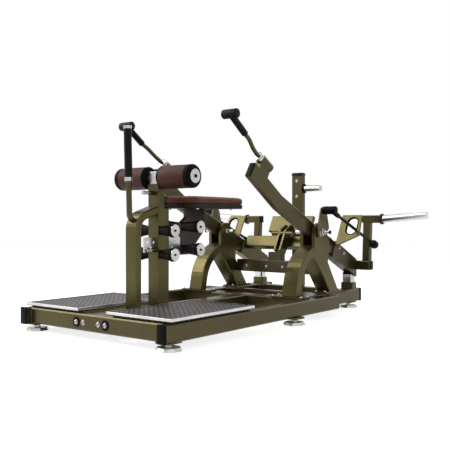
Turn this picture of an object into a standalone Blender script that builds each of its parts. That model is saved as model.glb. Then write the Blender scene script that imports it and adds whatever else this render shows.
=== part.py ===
"""A plate-loaded triceps extension machine, modelled piece by piece in metres.

The user stands or sits on the middle plane, facing the front. Two long arms, tied to
each other behind the seat, turn on a shaft in each of two forked stands: the handles in
front are pushed down and the loaded horns at the rear rise. X runs to the user's left,
Y runs back from the platform, and Z runs up from the floor. The origin is on the floor,
in the middle of the machine's length and width.
"""
import math

import bmesh
import bpy
from mathutils import Matrix, Vector

# Clearances
SEAT_GAP = 0.0003
RUNNING_GAP = 0.0005
SLIDE_GAP = 0.0006
WELD_STEP = 0.0004
WELD_DEPTH = 0.010

# Whole machine
MIDDLE_BACK = 1.0141

# Base frame, measured back from the front ends of the side rails
STAND_SPREAD = 0.700
RAIL_SET_OUT = 0.150
BASE_WIDTH = STAND_SPREAD + 2 * RAIL_SET_OUT
RAIL_WIDTH = 0.050
TUBE_HEIGHT = 0.080
RAIL_LENGTH = 1.500
FLOOR_CLEARANCE = 0.038
FRONT_TUBE_SETBACK = 0.025
FRONT_TUBE_DEPTH = 0.050
SPINE_WIDTH = 0.100
MIDDLE_TUBE_BACK = 1.180
MIDDLE_TUBE_DEPTH = 0.100
REAR_RAIL_WIDTH = 0.100
REAR_RAIL_END = 1.950
CAP_THICKNESS = 0.022
CAP_OVERHANG = 0.0015
TIE_DEPTH = 0.050
REAR_TUBE_DEPTHS = (0.050, 0.080)
REAR_TUBE_BACKS = (1.470, 1.780)
TUBE_EDGE = 0.006

# Feet
FOOT_SPOTS = ((BASE_WIDTH / 2 - 0.045, 0.066), (BASE_WIDTH / 2 - 0.015, 1.020),
              (STAND_SPREAD / 2 + 0.005, 1.872))
FOOT_TAPER = 0.86
FOOT_RADIUS = 0.062
FOOT_HEIGHT = 0.016
STEM_RADIUS = 0.009
FOOT_PLATE_THICKNESS = 0.007
FOOT_PLATE_LENGTH = 0.086
FOOT_PLATE_WIDTH = 0.076
FOOT_SIDES = 8

# Platform
TREAD_LENGTH = 0.600
TREAD_WIDTH = 0.400
TREAD_SETBACK = 0.033
TREAD_EDGE_HEIGHT = 0.014
TREAD_EDGE_WALL = 0.005
TREAD_RISE = 0.008
TREAD_LIP = 0.020
TREAD_SINK = 0.0015

# Bolt heads
BOLT_RADIUS = 0.008
BOLT_HEAD = 0.009
FRONT_BOLT_SPREADS = (0.104, 0.200)
BOLT_SINK = 0.002

# Front column, bent back to the main post
COLUMN_BACK = 0.281
COLUMN_WIDTH = 0.080
COLUMN_DEPTH = 0.040
COLUMN_STRAIGHT_TOP = 0.5125
COLUMN_BEND_RADIUS = 0.075
COLUMN_LEAN = 17.5

# Main post and the seat post behind it
POST_BACK = 0.4415
POST_WIDTH = 0.070
POST_DEPTH = 0.046
POST_WALL = 0.003
POST_TOP = 0.712
BUSH_HEIGHT = 0.033
BUSH_OVERHANG = 0.002
SEAT_POST_DEPTH = 0.036
SEAT_BOARD_BOTTOM = 0.623

# Grab handle
HANDLE_TUBE_RADIUS = 0.0145
HANDLE_FOOT_ANGLE = 30.0
HANDLE_BEND_RADIUS = 0.036
HANDLE_LEAN = 91.7
HANDLE_TOP = 1.028
HANDLE_BEND_TOP = 0.590
GRIP_RADIUS = 0.0195
GRIP_LENGTH = 0.236
COLLAR_LENGTH = 0.020
COLLAR_RADIUS = 0.0190

# Seat
BOARD_THICKNESS = 0.025
CUSHION_THICKNESS = 0.037
SEAT_FRONT = 0.490
NOSE_LENGTH = 0.114
NOSE_WIDTH = 0.090
SEAT_CORNER = 0.030
SEAT_WIDTH = 0.300
SEAT_LENGTH = 0.430

# Thigh rollers on their telescopic post
ROLLER_AXIS_HEIGHT = POST_TOP + 0.065
ROLLER_POST_TOP = ROLLER_AXIS_HEIGHT + 0.032
ROLLER_POST_BOTTOM = 0.530
THIGH_ROLLER_RADIUS = 0.060
THIGH_ROLLER_INNER = 0.046
THIGH_ROLLER_OUTER = 0.260
THIGH_AXLE_RADIUS = 0.012
END_BAND = 0.048
BAND_RECESS = 0.0010
END_DISC_RADIUS = 0.036
END_DISC_THICKNESS = 0.006

# Pull pins
POST_PIN_HEIGHT = POST_TOP - 0.0135
SHIN_PIN_HEIGHT = 0.4075
SHIN_PIN_SIDE = 0.0225
PIN_RADIUS = 0.0060
PIN_KNOB_RADIUS = 0.0100
PIN_BOSS_RADIUS = 0.0115
PIN_BOSS_LENGTH = 0.034
PIN_KNOB_LENGTH = 0.045

# Shin rollers and their slide
SHIN_ROLLER_RADIUS = 0.035
SHIN_WAIST_RADIUS = 0.023
SHIN_HALF_LENGTH = 0.127
SHIN_AXLE_RADIUS = 0.008
SHIN_DISC_RADIUS = 0.0315
SHIN_DISC_THICKNESS = 0.005
FRONT_SHIN_HEIGHTS = (0.506, 0.384)
REAR_SHIN_HEIGHTS = (0.525, 0.404)
REAR_SHIN_BACK = 0.665
SLIDE_BAR_BOTTOM = 0.395
SLIDE_BAR_HEIGHT = 0.076
SLIDE_BAR_THICKNESS = 0.014
SLIDE_BAR_FRONT = 0.375
SLIDE_BAR_HOLE_RADIUS = 0.006
SLIDE_BAR_HOLE_PITCH = 0.020
SLIDE_BAR_SHORT = 0.025
BRACKET_THICKNESS = 0.020

# Forked stands
STAND_WIDTH = 0.100
STAND_IN = STAND_SPREAD / 2 - STAND_WIDTH / 2
STAND_OUT = STAND_SPREAD / 2 + STAND_WIDTH / 2
SLOT_WIDTH = 0.060
PIVOT_BACK = 1.435
PIVOT_HEIGHT = 0.489
HEAD_RADIUS = 0.055
HEAD_BASE = PIVOT_HEIGHT - 0.100
HEAD_BACK = 1.547
STAND_PLATE_THICKNESS = 0.008
FRONT_LEG_FOOT = 1.204
FRONT_LEG_THICKNESS = 0.054
FRONT_LEG_RISE = 78.5
FRONT_LEG_STRAIGHT = PIVOT_HEIGHT - 0.412
FRONT_LEG_BEND_RADIUS = 0.232
FRONT_LEG_END_RISE = 25.0
FRONT_LEG_RUN = 0.060
HEAD_FRONT = 1.400
CROTCH = (1.365, PIVOT_HEIGHT - 0.141)
REAR_LEG_KNEE = (1.411, PIVOT_HEIGHT - 0.182)
REAR_LEG_FRONT = 1.566
REAR_LEG_BACK = 1.672
TIE_BEAM_BACK = 1.550
TIE_BEAM_DEPTH = 0.050
TIE_BEAM_BOTTOM = 0.224
TIE_BEAM_HEIGHT = 0.078

# Stops and storage post
STOP_BACK = 1.864
STOP_DEPTH = 0.056
STOP_WIDTH = 0.084
STOP_POST_SHARE = 0.487
REST_BLOCK_WIDTH = 0.100
REST_BLOCK_DEPTH = 0.045
REST_BLOCK_TOP = PIVOT_HEIGHT - 0.1335
STORAGE_BACK = 1.823
STORAGE_WIDTH = 0.084
STORAGE_DEPTH = 0.040
STORAGE_TOP = 0.860
STORAGE_HORN_HEIGHT = 0.772
STORAGE_HORN_RADIUS = 0.021
STORAGE_HORN_LENGTH = 0.130

# Swinging arms
ARM_WIDTH = 0.040
ARM_DEPTH = 0.088
ARM_FRONT_BACK = 0.807
ARM_BEND_BACK = 1.060
ARM_FRONT_SLOPE = 33.2
ARM_REAR_SLOPE = 24.3
ARM_BEND_RADIUS = 0.200
HUB_RADIUS = 0.032
SLEEVE_WIDTH = 0.060
SLEEVE_ABOVE = 0.0460
SLEEVE_BELOW = 0.060
SLEEVE_FRONT = 1.652
SLEEVE_END = 1.948
SHAFT_RADIUS = 0.0125
SHAFT_INNER = STAND_IN - 0.060
SHAFT_OUTER = STAND_OUT + 0.040
SHAFT_NUT_RADIUS = 0.020
SHAFT_NUT_THICKNESS = 0.012

# Cross beam, centre plate and guide plates, all leaning back alike
LEAN = 28.0
BEAM_BACK = 1.705
BEAM_HEIGHT = PIVOT_HEIGHT - 0.078
BEAM_DEPTH = 0.050
BEAM_TALL = 0.080
CENTRE_PLATE_WIDTH = 0.322
CENTRE_PLATE_LENGTH = 0.117
CENTRE_PLATE_THICKNESS = 0.028
CENTRE_PLATE_START = 0.072
STRAP_SPACING = 0.040
STRAP_THICKNESS = 0.012
STRAP_REACH = 0.0665
STRAP_DROP = 0.0975
STRAP_BEND = 0.048
STRAP_TOP = 0.110
ROD_RADIUS = 0.015
ROD_LENGTH = 0.160
GUIDE_OUTER = STAND_OUT + 0.127
GUIDE_OUTER_TOP = STAND_OUT + 0.114
GUIDE_THICKNESS = 0.012
GUIDE_TOP = PIVOT_HEIGHT + 0.101
GUIDE_BOTTOM_INNER = PIVOT_HEIGHT - 0.092
GUIDE_BOTTOM_OUTER = PIVOT_HEIGHT - 0.022
GUIDE_BACK = 1.716
GUIDE_MIDDLE_HEIGHT = PIVOT_HEIGHT + 0.016
GUIDE_HOLE_CENTRE = STAND_OUT + 0.064
GUIDE_HOLE_HEIGHT = PIVOT_HEIGHT + 0.0325
GUIDE_HOLE_WIDTH = 0.076
GUIDE_HOLE_LENGTH = 0.122

# Weight carriers
CARRIER_BACK = 1.955
CARRIER_DEPTH = 0.045
CARRIER_BOTTOM = PIVOT_HEIGHT - 0.251
CARRIER_TUBE = 0.058
CARRIER_OUTER = STAND_OUT + 0.068
UPRIGHT_WIDTH = 0.050
UPRIGHT_TOP = PIVOT_HEIGHT + 0.0535
UPRIGHT_LEAN = 0.015
HORN_TUBE = 0.050
HORN_TUBE_OUTER = STAND_OUT + 0.130
HORN_COLLAR_RADIUS = 0.036
HORN_COLLAR_THICKNESS = 0.016
HORN_RADIUS = 0.025
HORN_END = STAND_OUT + 0.435
HORN_RISE = 4.5

# Lever brackets and levers
LEVER_BRACKET_INNER = STAND_OUT + 0.004
LEVER_BRACKET_THICKNESS = 0.010
LEVER_BACK = 1.462
LEVER_HEIGHT = PIVOT_HEIGHT + 0.129
LEVER_BOSS_RADIUS = 0.024
LEVER_SIDE = STAND_OUT + 0.078
LEVER_END_SIDE = STAND_OUT + 0.092
LEVER_ROD_RADIUS = 0.009
LEVER_ROD_DROP = 0.011
LEVER_END_BACK = 1.962
LEVER_END_HEIGHT = PIVOT_HEIGHT - 0.082
LEVER_BALL_RADIUS = 0.0265
LEVER_PIVOT_RADIUS = 0.009
LEVER_BOSS_END = STAND_OUT + 0.091
LEVER_BRACKET_FOOT = 0.030
LEVER_BRACKET_TIP = 0.035

# Handles at the arms' front ends
SOCKET_FRONT = (0.890, PIVOT_HEIGHT + 0.404)
SOCKET_SLOPE = 31.4
SOCKET_LENGTH = 0.104
SOCKET_RADIUS = 0.029
SADDLE_WIDTH = 0.034
SADDLE_INSET = 0.006
SADDLE_ON_ARM = (0.042, 0.135)
HANDLE_COLLAR_LENGTH = 0.018
HANDLE_BAR_RADIUS = 0.0115
HANDLE_SLEEVE_RADIUS = 0.0178
HANDLE_SET_OUT = 0.020
T_GRIP_RADIUS = 0.024
T_GRIP_LENGTH = 0.090
HANDLE_KNEE = (0.822, PIVOT_HEIGHT + 0.448)
HANDLE_RISE = (0.775, PIVOT_HEIGHT + 0.487)
SLEEVE_START = (0.732, PIVOT_HEIGHT + 0.513)
GRIP_PLACE = (0.610, PIVOT_HEIGHT + 0.601)


# Places that follow from the sizes above
RAIL_OUT = BASE_WIDTH / 2
RAIL_IN = RAIL_OUT - RAIL_WIDTH
RAIL_TOP = FLOOR_CLEARANCE + TUBE_HEIGHT
REAR_IN = STAND_SPREAD / 2 - REAR_RAIL_WIDTH / 2
REAR_OUT = STAND_SPREAD / 2 + REAR_RAIL_WIDTH / 2
ARM_IN = STAND_SPREAD / 2 - ARM_WIDTH / 2
ARM_OUT = STAND_SPREAD / 2 + ARM_WIDTH / 2
POST_MIDDLE = POST_BACK + POST_DEPTH / 2
SEAT_POST_BACK = POST_BACK + POST_DEPTH + SEAT_GAP
PLATE_TOP = RAIL_TOP + SEAT_GAP + STAND_PLATE_THICKNESS
SPINE_TOP = RAIL_TOP - 2 * WELD_STEP
BEND_HEIGHT = PIVOT_HEIGHT + math.tan(math.radians(ARM_REAR_SLOPE)) * (PIVOT_BACK - ARM_BEND_BACK)
REAR_TILT = math.radians(ARM_REAR_SLOPE)
STOP_ROOM = (PIVOT_HEIGHT - math.tan(REAR_TILT) * (STOP_BACK + STOP_DEPTH - PIVOT_BACK)
             - SLEEVE_BELOW / math.cos(REAR_TILT) - RAIL_TOP)
ARM_FRONT_HEIGHT = BEND_HEIGHT + math.tan(math.radians(ARM_FRONT_SLOPE)) * (ARM_BEND_BACK - ARM_FRONT_BACK)


# Materials

def material(name, colour, roughness, metallic):
    """A plain surface with a colour, a roughness and a metallic value."""
    made = bpy.data.materials.new(name)
    made.use_nodes = True
    shader = made.node_tree.nodes["Principled BSDF"]
    shader.inputs["Base Color"].default_value = (*colour, 1.0)
    shader.inputs["Roughness"].default_value = roughness
    shader.inputs["Metallic"].default_value = metallic
    made.diffuse_color = (*colour, 1.0)
    return made


# Shapes, each added to a mesh that may hold several separate solids

def soften(work, width, segments=1):
    """Rounds the sharp edges of the solid in work."""
    if width <= 0:
        return
    sharp = [edge for edge in work.edges if edge.calc_face_angle(0) > math.radians(50)]
    bmesh.ops.bevel(work, geom=sharp, offset=width, segments=segments, profile=0.5, affect='EDGES')


def add(target, work, place=None):
    """Moves the solid in work to its place and adds it to the target mesh."""
    if place is not None:
        bmesh.ops.transform(work, matrix=place, verts=work.verts)
    kept = bpy.data.meshes.new("kept")
    work.to_mesh(kept)
    work.free()
    target.from_mesh(kept)
    bpy.data.meshes.remove(kept)


def add_box(target, low, high, edge=0.0, segments=1, place=None):
    """A block between two corners, its edges rounded by edge."""
    work = bmesh.new()
    bmesh.ops.create_cube(work, size=1.0)
    size = Vector(high) - Vector(low)
    bmesh.ops.scale(work, vec=size, verts=work.verts)
    bmesh.ops.translate(work, vec=(Vector(high) + Vector(low)) / 2, verts=work.verts)
    soften(work, edge, segments)
    add(target, work, place)


def along(start, end):
    """The placement that takes +Z from the origin to the line from start to end."""
    line = Vector(end) - Vector(start)
    turn = line.to_track_quat('Z', 'Y').to_matrix().to_4x4()
    return Matrix.Translation((Vector(start) + Vector(end)) / 2) @ turn


def add_rod(target, start, end, radius, sides=20, end_radius=None, edge=0.0):
    """A round bar or cone from start to end."""
    work = bmesh.new()
    length = (Vector(end) - Vector(start)).length
    last = radius if end_radius is None else end_radius
    bmesh.ops.create_cone(work, cap_ends=True, segments=sides, radius1=radius, radius2=last, depth=length)
    soften(work, edge)
    add(target, work, along(start, end))


def add_bolt(target, seat, direction, radius=BOLT_RADIUS):
    """A hexagon head on a face whose outward normal is direction, sunk a little to weld to it."""
    out = Vector(direction).normalized()
    low = Vector(seat) - out * BOLT_SINK
    work = bmesh.new()
    bmesh.ops.create_cone(work, cap_ends=True, segments=6, radius1=radius, radius2=radius,
                          depth=BOLT_HEAD + BOLT_SINK)
    add(target, work, along(low, low + out * (BOLT_HEAD + BOLT_SINK)))


def meshed(curve_object):
    """The curve's evaluated shape as a closed mesh, with the curve removed."""
    bpy.context.collection.objects.link(curve_object)
    shape = curve_object.evaluated_get(bpy.context.evaluated_depsgraph_get())
    mesh = bpy.data.meshes.new_from_object(shape)
    data = curve_object.data
    bpy.data.objects.remove(curve_object)
    bpy.data.curves.remove(data)
    work = bmesh.new()
    work.from_mesh(mesh)
    bpy.data.meshes.remove(mesh)
    bmesh.ops.remove_doubles(work, verts=work.verts, dist=0.00001)
    return work


SIDE_PLANE = Matrix(((0, 0, 1, 0), (1, 0, 0, 0), (0, 1, 0, 0), (0, 0, 0, 1)))
FRONT_PLANE = Matrix(((1, 0, 0, 0), (0, 0, -1, 0), (0, 1, 0, 0), (0, 0, 0, 1)))
FLOOR_PLANE = Matrix.Identity(4)


def add_plate(target, outlines, thickness, plane, offset=0.0, edge=0.0, segments=1):
    """A flat outline with any holes, given a thickness and stood in one of the planes."""
    curve = bpy.data.curves.new("outline", 'CURVE')
    curve.dimensions = '2D'
    curve.fill_mode = 'BOTH'
    curve.extrude = thickness / 2
    for outline in outlines:
        spline = curve.splines.new('POLY')
        spline.points.add(len(outline) - 1)
        for point, (across, up) in zip(spline.points, outline):
            point.co = (across, up, 0.0, 1.0)
        spline.use_cyclic_u = True
    work = meshed(bpy.data.objects.new("outline", curve))
    bmesh.ops.dissolve_limit(work, angle_limit=math.radians(1), verts=work.verts, edges=work.edges)
    soften(work, edge, segments)
    bmesh.ops.triangulate(work, faces=[face for face in work.faces if len(face.verts) > 4])
    bmesh.ops.recalc_face_normals(work, faces=work.faces)
    add(target, work, plane @ Matrix.Translation((0, 0, offset)))


def add_tube(target, points, radius, resolution=3):
    """A round tube through the points, with closed ends."""
    curve = bpy.data.curves.new("tube", 'CURVE')
    curve.dimensions = '3D'
    curve.bevel_depth = radius
    curve.bevel_resolution = resolution
    curve.use_fill_caps = True
    spline = curve.splines.new('POLY')
    spline.points.add(len(points) - 1)
    for point, place in zip(spline.points, points):
        point.co = (*place, 1.0)
    work = meshed(bpy.data.objects.new("tube", curve))
    bmesh.ops.recalc_face_normals(work, faces=work.faces)
    add(target, work)


def add_turned(target, profile, place, steps=24):
    """A profile of (radius, height) points, closed on itself or ending on the axis, turned about Z."""
    mesh = bpy.data.meshes.new("profile")
    points = [(radius, 0.0, height) for radius, height in profile]
    closed = profile[0][0] > 0 and profile[-1][0] > 0
    links = [(n, n + 1) for n in range(len(points) - 1)]
    if closed:
        links.append((len(points) - 1, 0))
    mesh.from_pydata(points, links, [])
    shape = bpy.data.objects.new("profile", mesh)
    bpy.context.collection.objects.link(shape)
    screw = shape.modifiers.new("turn", 'SCREW')
    screw.steps = steps
    screw.render_steps = steps
    screw.use_merge_vertices = True
    screw.merge_threshold = 0.00001
    turned = shape.evaluated_get(bpy.context.evaluated_depsgraph_get())
    result = bpy.data.meshes.new_from_object(turned)
    bpy.data.objects.remove(shape)
    bpy.data.meshes.remove(mesh)
    work = bmesh.new()
    work.from_mesh(result)
    bpy.data.meshes.remove(result)
    bmesh.ops.remove_doubles(work, verts=work.verts, dist=0.00001)
    bmesh.ops.recalc_face_normals(work, faces=work.faces)
    add(target, work, place)


def rectangle(low, high):
    """The four corners of an upright rectangle."""
    return [(low[0], low[1]), (high[0], low[1]), (high[0], high[1]), (low[0], high[1])]


def circle(centre, radius, sides=24):
    """A round hole or disc outline."""
    turns = [2 * math.pi * n / sides for n in range(sides)]
    return [(centre[0] + radius * math.cos(t), centre[1] + radius * math.sin(t)) for t in turns]


def bore(shaft_radius, clearance, sides=24):
    """The corner radius of a faceted hole that clears a shaft all round."""
    return (shaft_radius + clearance) / math.cos(math.pi / sides)


def bent_centre(start, heading, straight, radius, last_heading, run, steps=8):
    """Points and headings of a bar that runs straight, bends to a new heading and runs on."""
    angle = math.radians(heading)
    last = math.radians(last_heading)
    turn = -1 if last < angle else 1
    path = [(start[0], start[1], angle)]
    here = [start[0] + straight * math.cos(angle), start[1] + straight * math.sin(angle)]
    path.append((here[0], here[1], angle))
    side = angle + turn * math.pi / 2
    middle = (here[0] + radius * math.cos(side), here[1] + radius * math.sin(side))
    for step in range(1, steps + 1):
        now = angle + (last - angle) * step / steps
        out = now - turn * math.pi / 2
        path.append((middle[0] + radius * math.cos(out), middle[1] + radius * math.sin(out), now))
    end = path[-1]
    path.append((end[0] + run * math.cos(last), end[1] + run * math.sin(last), last))
    return path


def band(path, above, below):
    """The outline of a bar, at a distance to either side of its centre path."""
    left = [(y - above * math.sin(a), z + above * math.cos(a)) for y, z, a in path]
    right = [(y + below * math.sin(a), z - below * math.cos(a)) for y, z, a in path]
    return left + right[::-1]


# Scene

for old in list(bpy.data.objects):
    bpy.data.objects.remove(old)
PARTS = bpy.data.collections.new("triceps_extension_machine")
bpy.context.scene.collection.children.link(PARTS)

OLIVE = material("olive_paint", (0.152, 0.132, 0.066), 0.38, 0.55)
TAN = material("tan_olive_paint", (0.215, 0.180, 0.088), 0.38, 0.55)
BLACK = material("black_plastic", (0.012, 0.012, 0.013), 0.45, 0.0)
RUBBER = material("black_rubber", (0.022, 0.021, 0.023), 0.70, 0.0)
STEEL = material("bright_steel", (0.620, 0.620, 0.615), 0.25, 1.0)
DARK = material("dark_steel", (0.055, 0.052, 0.050), 0.45, 0.6)
DECK = material("ribbed_deck", (0.120, 0.120, 0.122), 0.50, 0.4)
LEATHER = material("brown_leather", (0.105, 0.036, 0.022), 0.50, 0.0)
BOARD = material("black_board", (0.020, 0.020, 0.020), 0.60, 0.0)


def finish(name, work, surface, pivot=(0.0, MIDDLE_BACK, 0.0)):
    """Makes the named piece from its mesh, with its origin at the pivot."""
    pivot = Vector(pivot)
    bmesh.ops.translate(work, vec=-pivot, verts=work.verts)
    mesh = bpy.data.meshes.new(name)
    work.to_mesh(mesh)
    work.free()
    mesh.materials.append(surface)
    mesh.shade_smooth()
    mesh.set_sharp_from_angle(angle=math.radians(35))
    piece = bpy.data.objects.new(name, mesh)
    PARTS.objects.link(piece)
    piece.location = pivot - Vector((0.0, MIDDLE_BACK, 0.0))
    return piece


CUTTERS = bpy.data.collections.new("cutters")
bpy.context.scene.collection.children.link(CUTTERS)


def combine(piece, work, operation):
    """Joins the solids in work to a finished piece, or takes them out of it."""
    pivot = piece.location + Vector((0.0, MIDDLE_BACK, 0.0))
    bmesh.ops.translate(work, vec=-pivot, verts=work.verts)
    mesh = bpy.data.meshes.new(piece.name + "_tool")
    work.to_mesh(mesh)
    work.free()
    tool = bpy.data.objects.new(piece.name + "_tool", mesh)
    CUTTERS.objects.link(tool)
    tool.location = piece.location
    tool.hide_render = True
    tool.display_type = 'WIRE'
    boolean = piece.modifiers.new(operation.lower(), 'BOOLEAN')
    boolean.operation = operation
    boolean.solver = 'EXACT'
    boolean.object = tool


def weld(piece, work):
    combine(piece, work, 'UNION')


def cut(piece, work):
    combine(piece, work, 'DIFFERENCE')


def sides():
    """The two sides of the machine: a name and the sign of X."""
    return (("right", -1), ("left", 1))


def side_box(target, side, low, high, edge=0.0, segments=1):
    """A block given for the +X side, on either side."""
    if side > 0:
        add_box(target, low, high, edge, segments)
    else:
        add_box(target, (-high[0], low[1], low[2]), (-low[0], high[1], high[2]), edge, segments)


def side_plate(target, outlines, side, inner, outer, edge=0.0, segments=1):
    """A side-view outline between two distances from the middle plane."""
    add_plate(target, outlines, outer - inner, SIDE_PLANE, side * (inner + outer) / 2, edge, segments)


def ring(target, start, end, outer, inner, steps=24):
    """A collar or sleeve round a bar, from start to end."""
    half = (Vector(end) - Vector(start)).length / 2
    edge = min(0.0012, (outer - inner) * 0.3)
    profile = [(inner, half), (outer - edge, half), (outer, half - edge), (outer, -half + edge),
               (outer - edge, -half), (inner, -half)]
    add_turned(target, profile, along(start, end), steps)


# Base frame, one weldment: side rails, front and middle tubes, spine, rear rails and their ties

front_back = FRONT_TUBE_SETBACK + FRONT_TUBE_DEPTH
middle_end = MIDDLE_TUBE_BACK + MIDDLE_TUBE_DEPTH
low = FLOOR_CLEARANCE + WELD_STEP
high = RAIL_TOP - WELD_STEP
work = bmesh.new()
for _, side in sides():
    side_box(work, side, (RAIL_IN, 0.0, FLOOR_CLEARANCE), (RAIL_OUT, RAIL_LENGTH, RAIL_TOP), TUBE_EDGE)
base_frame = finish("base_frame", work, OLIVE)
work = bmesh.new()
reach = RAIL_IN + WELD_DEPTH
add_box(work, (-reach, FRONT_TUBE_SETBACK, low), (reach, front_back, high), TUBE_EDGE)
add_box(work, (-reach, MIDDLE_TUBE_BACK, low), (reach, middle_end, high), TUBE_EDGE)
for _, side in sides():
    side_box(work, side, (REAR_OUT - WELD_DEPTH, RAIL_LENGTH - TIE_DEPTH, low),
             (reach, RAIL_LENGTH - 0.002, high), TUBE_EDGE)
weld(base_frame, work)
work = bmesh.new()
half = SPINE_WIDTH / 2
add_box(work, (-half, front_back - WELD_DEPTH, FLOOR_CLEARANCE + 2 * WELD_STEP),
        (half, MIDDLE_TUBE_BACK + WELD_DEPTH, SPINE_TOP), TUBE_EDGE)
for _, side in sides():
    side_box(work, side, (REAR_IN, middle_end - WELD_DEPTH, FLOOR_CLEARANCE),
             (REAR_OUT, REAR_RAIL_END, RAIL_TOP), TUBE_EDGE)
weld(base_frame, work)
work = bmesh.new()
reach = REAR_IN + WELD_DEPTH
for back, depth in zip(REAR_TUBE_BACKS, REAR_TUBE_DEPTHS):
    add_box(work, (-reach, back, low), (reach, back + depth, high), TUBE_EDGE)
stop_base = RAIL_TOP - 0.003
stop_in = STAND_SPREAD / 2 - STOP_WIDTH / 2
stop_out = STAND_SPREAD / 2 + STOP_WIDTH / 2
stop_top = RAIL_TOP + STOP_POST_SHARE * STOP_ROOM
for _, side in sides():
    side_box(work, side, (stop_in, STOP_BACK, stop_base),
             (stop_out, STOP_BACK + STOP_DEPTH, stop_top), 0.004)
weld(base_frame, work)
foot_plate_low = FLOOR_CLEARANCE - FOOT_PLATE_THICKNESS
work = bmesh.new()
for _, side in sides():
    for across, back in FOOT_SPOTS:
        wide, reach = FOOT_PLATE_WIDTH / 2, FOOT_PLATE_LENGTH / 2
        add_box(work, (side * across - wide, back - reach, foot_plate_low),
                (side * across + wide, back + reach, FLOOR_CLEARANCE + 0.003))
weld(base_frame, work)
work = bmesh.new()
bolt_height = FLOOR_CLEARANCE + TUBE_HEIGHT / 2
for spread in FRONT_BOLT_SPREADS:
    for side in (-1, 1):
        add_bolt(work, (side * spread / 2, FRONT_TUBE_SETBACK, bolt_height), (0, -1, 0))
weld(base_frame, work)

# Black caps on the open ends of the two rear rails
for name, side in sides():
    work = bmesh.new()
    side_box(work, side, (REAR_IN - CAP_OVERHANG, REAR_RAIL_END + SEAT_GAP, FLOOR_CLEARANCE - CAP_OVERHANG),
             (REAR_OUT + CAP_OVERHANG, REAR_RAIL_END + CAP_THICKNESS, RAIL_TOP + CAP_OVERHANG), 0.006, 3)
    finish("rear_rail_cap_" + name, work, BLACK)

# Six levelling feet: an eight-sided bright pad with its stem, screwed into the plates
eighth = Matrix.Rotation(math.radians(180 / FOOT_SIDES), 4, 'Z')
for name, side in sides():
    for place, (across, back) in zip(("front", "middle", "rear"), FOOT_SPOTS):
        work = bmesh.new()
        shape = bmesh.new()
        bmesh.ops.create_cone(shape, cap_ends=True, segments=FOOT_SIDES, radius1=FOOT_RADIUS,
                              radius2=FOOT_RADIUS * FOOT_TAPER, depth=FOOT_HEIGHT)
        soften(shape, 0.0015)
        add(work, shape, Matrix.Translation((side * across, back, FOOT_HEIGHT / 2)) @ eighth)
        foot = finish("levelling_foot_" + place + "_" + name, work, STEEL, (side * across, back, 0.0))
        work = bmesh.new()
        add_rod(work, (side * across, back, FOOT_HEIGHT - 0.004),
                (side * across, back, foot_plate_low - SEAT_GAP), STEM_RADIUS, 12)
        weld(foot, work)

# Platform: two decks, each with a bright edge all round and a set-back support below
tread_in = RAIL_OUT - TREAD_WIDTH
tread_end = TREAD_SETBACK + TREAD_LENGTH
edge_low = RAIL_TOP + TREAD_RISE
for name, side in sides():
    work = bmesh.new()
    side_box(work, side, (tread_in, TREAD_SETBACK, edge_low),
             (RAIL_OUT, tread_end, edge_low + TREAD_EDGE_HEIGHT), 0.0015)
    tread = finish("tread_" + name, work, DECK)
    work = bmesh.new()
    side_box(work, side, (tread_in + TREAD_LIP, TREAD_SETBACK + TREAD_LIP, RAIL_TOP + SEAT_GAP),
             (RAIL_OUT - TREAD_LIP, tread_end - TREAD_LIP, edge_low + 0.004))
    weld(tread, work)
    work = bmesh.new()
    wall = TREAD_EDGE_WALL
    top = edge_low + TREAD_EDGE_HEIGHT
    side_box(work, side, (tread_in + wall, TREAD_SETBACK + wall, top - TREAD_SINK),
             (RAIL_OUT - wall, tread_end - wall, top + 0.01))
    cut(tread, work)


# Front column: a flat tube that rises from the spine and bends back to the main post

work = bmesh.new()
post_low = SPINE_TOP + SEAT_GAP
column_middle = COLUMN_BACK + COLUMN_DEPTH / 2
slope = math.tan(math.radians(COLUMN_LEAN))
path = bent_centre((column_middle, post_low), 90, COLUMN_STRAIGHT_TOP - post_low, COLUMN_BEND_RADIUS,
                   COLUMN_LEAN, 0.01)
half = COLUMN_DEPTH / 2
outline = band(path, half, half)
last_face = POST_BACK - SEAT_GAP
upper = outline[:len(path)]
lower = outline[len(path):]
upper[-1] = (last_face, upper[-2][1] + slope * (last_face - upper[-2][0]))
lower[0] = (last_face, lower[1][1] + slope * (last_face - lower[1][0]))
add_plate(work, [upper + lower], COLUMN_WIDTH, SIDE_PLANE, 0.0, TUBE_EDGE)
finish("front_column", work, TAN)

# Main post: a hollow tube that holds the roller post, with a window for the shins' slide bar
post_half = POST_WIDTH / 2
post_end = POST_BACK + POST_DEPTH
bar_top = SLIDE_BAR_BOTTOM + SLIDE_BAR_HEIGHT
window_half = SLIDE_BAR_THICKNESS / 2 + SLIDE_GAP
window_low = SLIDE_BAR_BOTTOM - SLIDE_GAP
window_high = bar_top + SLIDE_GAP
work = bmesh.new()
outside = rectangle((-post_half, POST_BACK), (post_half, post_end))
inside = rectangle((-post_half + POST_WALL, POST_BACK + POST_WALL),
                   (post_half - POST_WALL, post_end - POST_WALL))
add_plate(work, [outside, inside], POST_TOP - post_low, FLOOR_PLANE, (POST_TOP + post_low) / 2)
main_post = finish("main_post", work, TAN)
pin_spots = ((0.0, POST_PIN_HEIGHT), (SHIN_PIN_SIDE, SHIN_PIN_HEIGHT))
boss_front = POST_BACK - PIN_BOSS_LENGTH
work = bmesh.new()
for across, height in pin_spots:
    add_rod(work, (across, POST_BACK + POST_WALL / 2, height), (across, boss_front, height),
            PIN_BOSS_RADIUS, 20)
weld(main_post, work)
work = bmesh.new()
add_box(work, (-window_half, POST_BACK - 0.01, window_low), (window_half, post_end + 0.01, window_high))
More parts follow.
